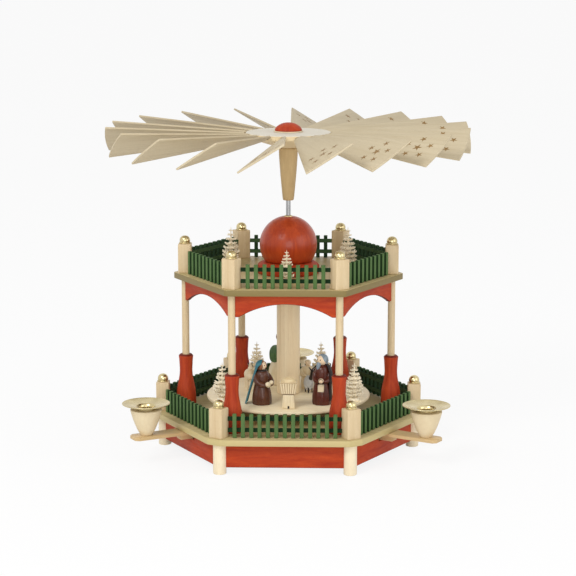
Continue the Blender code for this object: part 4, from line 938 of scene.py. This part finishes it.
# The seated figure in a glossy brown robe is turned in one piece, and its sleeves, hands and head
# are glued on. Hair, a dark collar and two dots for the eyes are brushed on.
FIGURE_FLOOR = PLATE_TOP + 0.0003
ROBE_LINE = (
    (0, 0.802), (0.25, 0.8), (0.46, 0.782), (0.6, 0.75), (0.69, 0.7), (0.72, 0.64), (0.7, 0.57), (0.69, 0.5),
    (0.76, 0.42), (0.89, 0.3), (0.98, 0.17), (0.99, 0.07), (0.98, 0.03), (0.95, 0), (0, 0),
)
ROBE_FOLDS = 9
FOLD_DEPTH = 0.03
ARM_LINE = ((0.45, 0.1, 0.72), (0.76, 0, 0.65), (0.84, -0.35, 0.52), (0.5, -0.9, 0.47), (0.15, -1.1, 0.49))
ARM_SHARES = (0.18, 0.28, 0.33, 0.28, 0.18)
HEAD_SHARE = 0.105
HEAD_LEVEL = 0.888


def robe(radius, height, line=ROBE_LINE):
    """A bell-shaped robe whose skirt falls in shallow folds; figures face -Y until they are put down."""
    mesh = turned([(radius * across, height * up) for across, up in line], 72)
    for corner in mesh.vertices:
        angle = math.atan2(corner.co.y, corner.co.x)
        skirt = max(0, 1 - 2 * corner.co.z / height)
        swell = 1 - FOLD_DEPTH * skirt * (1 - math.cos(ROBE_FOLDS * angle))
        corner.co.x *= swell
        corner.co.y *= swell
    return mesh


def limb(points, radii):
    """A rounded limb along points, its thickness changing from one to the next."""
    curve = bpy.data.curves.new("limb", "CURVE")
    curve.dimensions = "3D"
    curve.bevel_depth = 1
    curve.bevel_resolution = 4
    curve.use_fill_caps = True
    spline = curve.splines.new("NURBS")
    spline.points.add(len(points) - 1)
    for knot, place, radius in zip(spline.points, points, radii):
        knot.co = (*place, 1)
        knot.radius = radius
    spline.use_endpoint_u = True
    spline.order_u = min(3, len(points))
    spline.resolution_u = 8
    holder = in_scene("limb", curve)
    made = evaluated(holder)
    bpy.data.objects.remove(holder)
    return made


def egg(centre, radii, steps=28):
    """An ellipsoid."""
    build = bmesh.new()
    place = Matrix.Translation(centre) @ Matrix.Diagonal((*radii, 1))
    bmesh.ops.create_uvsphere(build, u_segments=steps, v_segments=steps * 2 // 3, radius=1, matrix=place)
    return mesh_of(build)


def sleeves(radius, height):
    """Two bent arms in wide sleeves, meeting in front."""
    arms = []
    for side in (-1, 1):
        path = [(side * radius * x, radius * y, height * z) for x, y, z in ARM_LINE]
        arms.append(limb(path, [radius * share for share in ARM_SHARES]))
    return together(*arms)


def head_egg(height, centre, radii):
    """An egg on the head of a figure of this height, its measures in head radii."""
    size = HEAD_SHARE * height
    middle = Vector((0, 0, HEAD_LEVEL * height)) + Vector(centre) * size
    return egg(middle, [share * size for share in radii])


def face(height):
    """Head, nose and neck."""
    size = HEAD_SHARE * height
    neck = limb([(0, 0, 0.77 * height), (0, 0, HEAD_LEVEL * height)], (size * 0.5, size * 0.45))
    skull = head_egg(height, (0, 0, 0), (0.95, 1, 1.05))
    return together(skull, head_egg(height, (0, -1, 0), (0.13, 0.13, 0.13)), neck)


def features(height):
    """Two painted eyes and a mouth, as very flat drops of paint."""
    eyes = [head_egg(height, (side * 0.36, -0.9, 0.18), (0.1, 0.08, 0.12)) for side in (-1, 1)]
    return together(*eyes, head_egg(height, (0, -0.88, -0.42), (0.2, 0.08, 0.06)))


def hair(height, long):
    """Painted hair: a shell over the crown and the back of the head."""
    crown = head_egg(height, (0, 0.2, 0.16), (1.08, 1.02, 1.02))
    return together(crown, head_egg(height, (0, 0.5, -long), (0.9, 0.75, 1)))


def put_down(name, mesh, material, spot, replaces=()):
    """Part of a figure, set on the turntable at its spot, which is a place and a turn."""
    place, turn = spot
    mesh.transform(Matrix.Translation(place) @ Matrix.Rotation(math.radians(turn), 4, "Z"))
    mesh.materials.clear()
    mesh.materials.append(material)
    finish(name, mesh, "carousel", replaces)


skin = paint("skin_paint", (0.86, 0.68, 0.47), (0.78, 0.56, 0.36), roughness=0.45, coat=0.15)
dark_line = paint("dark_line_paint", (0.02, 0.012, 0.01), (0.01, 0.006, 0.005), roughness=0.4, coat=0.2)
brown_robe = paint("brown_robe_lacquer", (0.12, 0.043, 0.022), (0.06, 0.019, 0.011), roughness=0.25, coat=0.2)
brown_hair = paint("brown_hair_paint", (0.27, 0.11, 0.045), (0.14, 0.055, 0.022), roughness=0.5, mottle=700)
cream_cloth = paint("cream_cloth_paint", (0.8, 0.7, 0.5), (0.7, 0.57, 0.36), roughness=0.45, coat=0.2)


def put_down_face(figure, height, look):
    """The head of a figure and the eyes and mouth painted on it, turned the way it looks."""
    put_down(f"{figure}_face", face(height), skin, look)
    put_down(f"{figure}_eyes", features(height), dark_line, look)


MOTHER_TALL = 0.047
MOTHER_WIDE = 0.0109
mother_place = polar(0.059, 242.8, FIGURE_FLOOR)
mother_spot = (mother_place, 40)
mother_look = (mother_place, 58)
mother_body = together(robe(MOTHER_WIDE, MOTHER_TALL), sleeves(MOTHER_WIDE, MOTHER_TALL))
put_down("mother_robe", mother_body, brown_robe, mother_spot, ["mother"])
collar = turned([(0.0018, 0.0376), (0.0044, 0.0381), (0.0058, 0.0372), (0.006, 0.0364), (0.0018, 0.0355)], 32)
put_down("mother_collar", collar, dark_line, mother_spot)
put_down_face("mother", MOTHER_TALL, mother_look)
side_locks = [egg((side * 0.0039, -0.0008, 0.0415), (0.0014, 0.0031, 0.0042)) for side in (-1, 1)]
mother_hair = together(hair(MOTHER_TALL, 0.5), *side_locks)
put_down("mother_hair", mother_hair, brown_hair, mother_look)
bundle = together(
    egg((-0.0012, -0.0122, 0.0232), (0.0036, 0.0027, 0.0028)),
    egg((0.0034, -0.0122, 0.0248), (0.0024, 0.0023, 0.0024)),
    egg((0, -0.0116, 0.0212), (0.0026, 0.002, 0.0017)),
)
put_down("mother_bundle", bundle, cream_cloth, mother_spot)

# A strip of stiffened blue-green cloth is laid over the seated figure's head and hangs straight
# down behind it to the turntable, hugging the head above and spreading a little at the hem.
VEIL_ROWS = (
    (-0.0008, 0.0482, 0.0054, 0.9), (0.0018, 0.0481, 0.006, 0.9), (0.0044, 0.047, 0.0063, 0.9),
    (0.0064, 0.0446, 0.0065, 0.85), (0.0074, 0.0412, 0.0065, 0.7), (0.0083, 0.036, 0.0061, 0.5),
    (0.0101, 0.0295, 0.006, 0.4), (0.0129, 0.02, 0.0061, 0.35), (0.0158, 0.0095, 0.0063, 0.3),
    (0.0182, 0.0004, 0.0065, 0.3),
)
VEIL_CROWN = 0.0417
VEIL_COLUMNS = 12
VEIL_THICK = 0.0006


def walled(build, thick):
    """A mesh from a thin sheet that is given its thickness."""
    bmesh.ops.recalc_face_normals(build, faces=build.faces)
    bmesh.ops.solidify(build, geom=build.faces[:], thickness=thick)
    return mesh_of(build)


def draped(rows):
    """A cloth from rows of (y, z, half width, wrap); above the crown it wraps down round the head."""
    build = bmesh.new()
    grid = []
    for y, z, half, wrap in rows:
        above = z > VEIL_CROWN
        inward = Vector((0, -y, VEIL_CROWN - z)).normalized() if above else Vector((0, -1, 0))
        ripple = 0.00025 * (1 - z / VEIL_CROWN if z < VEIL_CROWN else 0)
        line = []
        for column in range(VEIL_COLUMNS + 1):
            turn = math.radians(82 * (2 * column / VEIL_COLUMNS - 1))
            spot = Vector((half * math.sin(turn), y + ripple * math.cos(column * 2.1), z))
            line.append(build.verts.new(spot + inward * half * wrap * (1 - math.cos(turn))))
        grid.append(line)
    for row, beyond in zip(grid, grid[1:]):
        for column in range(VEIL_COLUMNS):
            build.faces.new((row[column], row[column + 1], beyond[column + 1], beyond[column]))
    return walled(build, VEIL_THICK)


veil_cloth = paint(
    "blue_veil_cloth", (0.05, 0.2, 0.24), (0.025, 0.12, 0.16), roughness=0.5, coat=0.1, mottle=500
)
put_down("mother_veil_cloth", draped(VEIL_ROWS), veil_cloth, (mother_place, 84), ["mother_veil"])

# The standing figure wears a red-brown robe and a nearly black cloak, and has grey-blue hair and
# beard. It holds a small square lantern of pale wood by a wire loop.
FATHER_TALL = 0.054
FATHER_WIDE = 0.011
father_place = polar(0.0636, 306.6, FIGURE_FLOOR)
father_spot = (father_place, -5)
father_look = (father_place, -42)
SLEEVE_WIDE = 0.0092
red_robe = paint("red_brown_lacquer", (0.1, 0.022, 0.011), (0.05, 0.011, 0.007), roughness=0.28, coat=0.18)
black_cloak = paint("dark_cloak_lacquer", (0.02, 0.01, 0.009), (0.008, 0.005, 0.005), roughness=0.6, coat=0.1)
grey_hair = paint(
    "grey_hair_paint", (0.26, 0.32, 0.36), (0.16, 0.2, 0.24), roughness=0.55, coat=0.1, mottle=700
)
father_body = together(robe(FATHER_WIDE, FATHER_TALL), sleeves(SLEEVE_WIDE, FATHER_TALL))
put_down("father_robe", father_body, red_robe, father_spot, ["father"])
cloak_line = [
    (0.0038, 0.0446), (0.007, 0.0434), (0.0094, 0.0402), (0.0112, 0.0355), (0.0114, 0.029), (0.0106, 0.021),
    (0.0107, 0.012), (0.0112, 0.0045),
]
cloak = walled(swept(cloak_line, -38, 188, 30), 0.0007)
put_down("father_cloak", cloak, black_cloak, father_spot)
put_down_face("father", FATHER_TALL, father_look)
beard = limb([(0, -0.0046, 0.0452), (0, -0.0062, 0.0428), (0, -0.0068, 0.0388)], (0.0026, 0.0027, 0.0012))
put_down("father_hair", together(hair(FATHER_TALL, 0.3), beard), grey_hair, father_look)
LANTERN_Y = -0.0126
LANTERN_HALF = 0.0031
lantern_low, lantern_high = (level - FIGURE_FLOOR for level in levels("father_lantern"))
hand = egg((0, LANTERN_Y + 0.0006, 0.0276), (0.0029, 0.0025, 0.0027))
put_down("father_hand", hand, skin, father_spot)
loop_half = [(0.0012, -0.0026, 0.0301), (0.0026, 0, 0.0268), (0.0023, 0, lantern_high - 0.0004)]
loop_path = [(-x, y, z) for x, y, z in reversed(loop_half)] + loop_half
loop = limb([(x, LANTERN_Y + y, z) for x, y, z in loop_path], (0.0003,) * 6)
put_down("lantern_loop", loop, dark_line, father_spot)


def lantern_block(x, y, half, low, high, ease):
    """A square block of the lantern, its middle at x and y from the lantern's own."""
    y += LANTERN_Y
    return block((x - half, y - half, low), (x + half, y + half, high), ease, 1)


lantern_parts = [
    lantern_block(x, y, 0.0006, lantern_low, lantern_high, 0.0001)
    for x in (-0.0025, 0.0025)
    for y in (-0.0025, 0.0025)
]
for low in (lantern_low, lantern_high - 0.0011):
    lantern_parts.append(lantern_block(0, 0, LANTERN_HALF, low, low + 0.0011, 0.0002))
lantern_frame = ring(together(*lantern_parts), pale_wood)
put_down("lantern_frame", lantern_frame, pale_wood, father_spot, ["father_lantern"])
panes = lantern_block(0, 0, 0.0023, lantern_low + 0.0005, lantern_high - 0.0005, 0)
put_down("lantern_panes", panes, cream_cloth, father_spot)

# The angel is turned and painted cream, with wide sleeves. Its two green wings are sawn from one
# thin board, rounded above, flatter below, with feather ridges, and sit on a peg in the back.
ANGEL_TALL = 0.059
ANGEL_WIDE = 0.0107
ANGEL_LINE = (
    (0, 0.802), (0.25, 0.8), (0.46, 0.782), (0.58, 0.75), (0.64, 0.7), (0.66, 0.6), (0.8, 0.48), (1.15, 0.4),
    (1.36, 0.3), (1.46, 0.17), (1.48, 0.07), (1.47, 0.02), (1.44, 0), (0, 0),
)
angel_spot = (polar(0.0458, 100.7, FIGURE_FLOOR), 180)
WING_LEVEL = 0.6 * ANGEL_TALL
WING_BACK = 0.0086
WING_NARROWING = 0.78
angel_cloth = paint("angel_cream_paint", (0.78, 0.66, 0.44), (0.66, 0.52, 0.3), roughness=0.4, coat=0.3)
wing_green = paint(
    "wing_green_paint", (0.08, 0.16, 0.06), (0.035, 0.085, 0.03), roughness=0.45, coat=0.3, mottle=600
)
wing_peg = limb([(0, 0.004, WING_LEVEL), (0, WING_BACK, WING_LEVEL)], (0.0018, 0.0018))
angel_body = together(robe(ANGEL_WIDE, ANGEL_TALL, ANGEL_LINE), sleeves(SLEEVE_WIDE, ANGEL_TALL), wing_peg)
put_down("angel_dress", angel_body, angel_cloth, angel_spot, ["angel"])
put_down_face("angel", ANGEL_TALL, angel_spot)
put_down("angel_hair", hair(ANGEL_TALL, 0.6), brown_hair, angel_spot)
put_down("angel_hands", egg((0, -0.0112, 0.0293), (0.0024, 0.0024, 0.003)), skin, angel_spot)
wing_half = [
    (0.0012, 0.0076), (0.0052, 0.0094), (0.0092, 0.0102), (0.0128, 0.0094), (0.0156, 0.0072),
    (0.0173, 0.0042), (0.0179, 0.0006), (0.0177, -0.0034), (0.0168, -0.0068), (0.0146, -0.0092),
    (0.0106, -0.0099), (0.0062, -0.0095), (0.0026, -0.0076), (0.0012, -0.003),
]
ridges = []
for side in (-1, 1):
    for x, y in wing_half[3:12]:
        ridge = [(side * 0.002, 0.0045, 0.0005), (side * x * 0.93, y * 0.93, 0.0005)]
        ridges.append(limb(ridge, (0.0002, 0.00045)))
wings = together(board(mirrored(wing_half), -0.0006, 0.0006, 0.0003), *ridges)
wings.transform(turn_about("X", 90) @ Matrix.Diagonal((WING_NARROWING, 1, 1, 1)))
wings.transform(Matrix.Translation((0, WING_BACK, WING_LEVEL)))
put_down("angel_wing_pair", wings, wing_green, angel_spot, ["angel_wings"])

# The kneeling shepherd is small and light tan, and one arm, painted brown as the shade along its underside,
# reaches out over a lamb in front.
# The lamb's round body is set with tufts of grey-white wool; its raised head and legs are black.
SHEPHERD_TALL = 0.031
SHEPHERD_WIDE = 0.0087
shepherd_spot = (polar(0.0328, 49.7, FIGURE_FLOOR), 0)
tan_cloth = paint("light_tan_paint", (0.8, 0.68, 0.46), (0.7, 0.56, 0.34), roughness=0.45, coat=0.25)
shepherd_body = together(robe(SHEPHERD_WIDE, SHEPHERD_TALL), sleeves(SHEPHERD_WIDE, SHEPHERD_TALL))
put_down("shepherd_robe", shepherd_body, tan_cloth, shepherd_spot, ["shepherd"])
put_down_face("shepherd", SHEPHERD_TALL, shepherd_spot)
put_down("shepherd_cap", hair(SHEPHERD_TALL, 0.1), tan_cloth, shepherd_spot)
reach_path = [(0.0046, -0.0015, 0.0215), (0.0072, -0.0055, 0.021), (0.0062, -0.0115, 0.0215)]
reaching = limb(reach_path, (0.0013, 0.0012, 0.0009))
# The arm's brown is painted shade along its underside.
put_down("shepherd_arm", reaching, brown_hair, shepherd_spot)
GOLDEN_TURN = 2.3999632
WOOL_LONG = 0.006
WOOL_WIDE = 0.0046
WOOL_TUFT = 0.0009


def wool_rule(graph, given, number):
    """Tufts set in a spiral from the top of a long egg to its bottom."""
    height = 1 - (2 * number + 1) / given["Tufts"]
    angle = number * GOLDEN_TURN
    reach = (1 - height * height).root()
    across = given["Wide"] * reach * angle.sin()
    spot = graph.vector(given["Long"] * reach * angle.cos(), across, given["Wide"] * height)
    size = loose(graph, number, 4, 0.7, 1.2)
    return given["Tufts"], spot, graph.vector(0, 0, angle), graph.vector(size, size, size)


WOOL = copies_tree("wool_tufts", ("Tufts",), ("Long", "Wide"), wool_rule)
wool = wood(
    "grey_white_wool", (0.62, 0.61, 0.57), (0.42, 0.41, 0.39), along=(1, 1, 1), roughness=0.8, pores=0.2
)
wool_values = {"Tufts": 130, "Long": WOOL_LONG, "Wide": WOOL_WIDE}
tufts = laid_out(egg((0, 0, 0), (WOOL_TUFT, WOOL_TUFT, WOOL_TUFT), 8), wool, WOOL, wool_values)
fleece = together(tufts, egg((0, 0, 0), (WOOL_LONG, WOOL_WIDE, WOOL_WIDE)))
fleece.transform(Matrix.Translation((0, 0, 0.0105)) @ Matrix.Diagonal((0.95, 1, 1.6, 1)))
lamb_spot = (polar(0.0225, 2.5, FIGURE_FLOOR), -60)
put_down("lamb_fleece", fleece, wool, lamb_spot, ["lamb"])
lamb_dark = [
    limb([(0.004, 0, 0.0155), (0.0062, 0, 0.0205), (0.007, 0, 0.0255)], (0.0022, 0.0015, 0.0014)),
    egg((0.0078, 0, 0.0256), (0.0026, 0.0014, 0.0017)),
]
for side in (-1, 1):
    ear = [(0.0068, side * 0.0006, 0.0262), (0.0066, side * 0.0034, 0.0298)]
    lamb_dark.append(limb(ear, (0.0009, 0.0005)))
    for along in (-0.0034, 0.0034):
        lamb_dark.append(limb([(along, side * 0.0022, 0.007), (along, side * 0.0023, 0)], (0.0008, 0.0007)))
put_down("lamb_head_legs", together(*lamb_dark), dark_line, lamb_spot)

# The pack animal stands behind, facing the front: a ringed, turned barrel on four straight legs,
# with a long head, two dark ears and a black dot for each eye. All of it is pale wood.
DONKEY_SCALE = Matrix.Diagonal((1.04, 1.04, 1.12, 1))
BARREL_HALF = 0.0126
RING_PITCH = 0.0012
donkey_spot = (polar(0.04675, 160, FIGURE_FLOOR), 100)
barrel_line = [(0, 0.013)]
for step in range(21):
    along = BARREL_HALF - RING_PITCH * step
    girth = 0.0055 * math.sqrt(max(0.02, 1 - (along / 0.0132) ** 2))
    barrel_line.append((girth * (1 if step % 2 else 0.93), along))
barrel = turned(barrel_line + [(0, -BARREL_HALF)], 28)
barrel.transform(Matrix.Translation((0, 0, 0.0141)) @ turn_about("Y", 90))
donkey_wood = [
    barrel,
    limb([(-0.006, 0, 0.0155), (-0.0088, 0, 0.0205), (-0.0098, 0, 0.0245)], (0.0038, 0.003, 0.0024)),
    limb([(-0.0078, 0, 0.0252), (-0.0115, 0, 0.0242), (-0.0146, 0, 0.0222)], (0.0022, 0.0024, 0.0014)),
]
for along in (-0.0068, 0.0068):
    for side in (-0.003, 0.003):
        leg = [(along, side, level) for level in (0.0125, 0.006, 0)]
        donkey_wood.append(limb(leg, (0.0015, 0.0011, 0.0012)))
donkey_body = ring(together(*donkey_wood), pale_wood)
donkey_body.transform(DONKEY_SCALE)
put_down("donkey_body", donkey_body, pale_wood, donkey_spot, ["donkey"])
donkey_dark = []
for side in (-1, 1):
    donkey_dark.append(egg((-0.0112, side * 0.0021, 0.0254), (0.0006, 0.0005, 0.0006)))
    ear = [(-0.0082, side * 0.0014, 0.0258), (-0.0074, side * 0.0026, 0.0287)]
    donkey_dark.append(limb(ear, (0.001, 0.0003)))
donkey_marks = together(*donkey_dark)
donkey_marks.transform(DONKEY_SCALE)
put_down("donkey_ears_eyes", donkey_marks, dark_line, donkey_spot)

# The manger is a solid flaring trough on a solid foot, carved with shallow upright ribs; the front face
# behind the ribs is tinted darker. A small notch below the foot and the line that parts trough and foot are
# painted shadow, and a heap of straw lies on top.
MANGER_FOOT = 0.0158
MANGER_RIM = 0.0286
manger_place = polar(0.07, 272, FIGURE_FLOOR)
manger_spot = (manger_place, 0)
manger_wood = wood(
    "carved_limewood", (0.86, 0.75, 0.53), (0.74, 0.6, 0.38), roughness=0.55, tone_and_painted_light=(0.42, 0.29, 0.15)
)


def flared(low, high, low_half, high_half, depth):
    """A block whose sides lean outwards."""
    outline = [(-low_half, low), (low_half, low), (high_half, high), (-high_half, high)]
    mesh = board(outline, -depth / 2, depth / 2, 0.0004)
    mesh.transform(turn_about("X", 90))
    return mesh


def ribs(count, front, low, low_spread, high, high_spread, radii):
    """Upright ribs, evenly spread from side to side on a front face."""
    made = []
    for rib in range(count):
        share = 2 * rib / (count - 1) - 1
        made.append(limb([(low_spread * share, front, low), (high_spread * share, front, high)], radii))
    return made


# The trough's front face is marked for a darker tint than the ribs.
manger_parts = [
    flared(0.0003, MANGER_FOOT - 0.0003, 0.007, 0.0058, 0.0146),
    marked_for_tone_and_painted_light(flared(MANGER_FOOT, MANGER_RIM, 0.0075, 0.0093, 0.0152), lambda normal, centre: normal.y < -0.5),
    *ribs(7, -0.0076, MANGER_FOOT + 0.001, 0.0066, MANGER_RIM - 0.0008, 0.0082, (0.0009, 0.001)),
    *ribs(4, -0.0073, 0.0022, 0.0055, MANGER_FOOT - 0.0015, 0.0045, (0.0005, 0.0005)),
]
manger_body = ring(together(*manger_parts), manger_wood)
put_down("manger_trough", manger_body, manger_wood, manger_spot, ["manger"])
# The notch below the foot and the parting line are painted shadow: thin dark strips on the front faces.
foot_notch = block((-0.0009, -0.00735, 0.0003), (0.0009, -0.0072, 0.0032), 0)
parting = block((-0.006, -0.0074, MANGER_FOOT - 0.0004), (0.006, -0.006, MANGER_FOOT + 0.0001), 0)
put_down("manger_shadow_lines", together(foot_notch, parting), dark_line, manger_spot)


def straw_rule(graph, given, number):
    """Stalks lying every way in a heap that is highest in its middle."""
    x = loose(graph, number, 1)
    y = loose(graph, number, 2)
    rise = given["Rise"] * (1 - x * x) * (1 - y * y) * loose(graph, number, 3, 0.4, 1.0)
    tilts = [loose(graph, number, seed, -0.5, 0.5) for seed in (4, 5)]
    turn = graph.vector(*tilts, loose(graph, number, 6, 0.0, 3.14))
    size = graph.vector(loose(graph, number, 7, 0.6, 1.1), 1, 1)
    return given["Stalks"], graph.vector(x * given["Long"], y * given["Wide"], rise), turn, size


STRAW = copies_tree("straw_heap", ("Stalks",), ("Long", "Wide", "Rise"), straw_rule)
straw_colour = wood(
    "dry_straw", (0.86, 0.73, 0.48), (0.7, 0.54, 0.3), along=(0.05, 1, 1), roughness=0.6, pores=0.2
)
stalk = block((-0.0024, -0.00022, -0.00022), (0.0024, 0.00022, 0.00022), 0)
straw_values = {"Stalks": 220, "Long": 0.007, "Wide": 0.0054, "Rise": 0.0046}
stalks = laid_out(stalk, straw_colour, STRAW, straw_values)
straw = together(stalks, egg((0, 0, -0.0006), (0.0078, 0.0062, 0.0044)))
straw_spot = (manger_place + Vector((0, 0, MANGER_RIM)), 0)
put_down("manger_straw", straw, straw_colour, straw_spot)
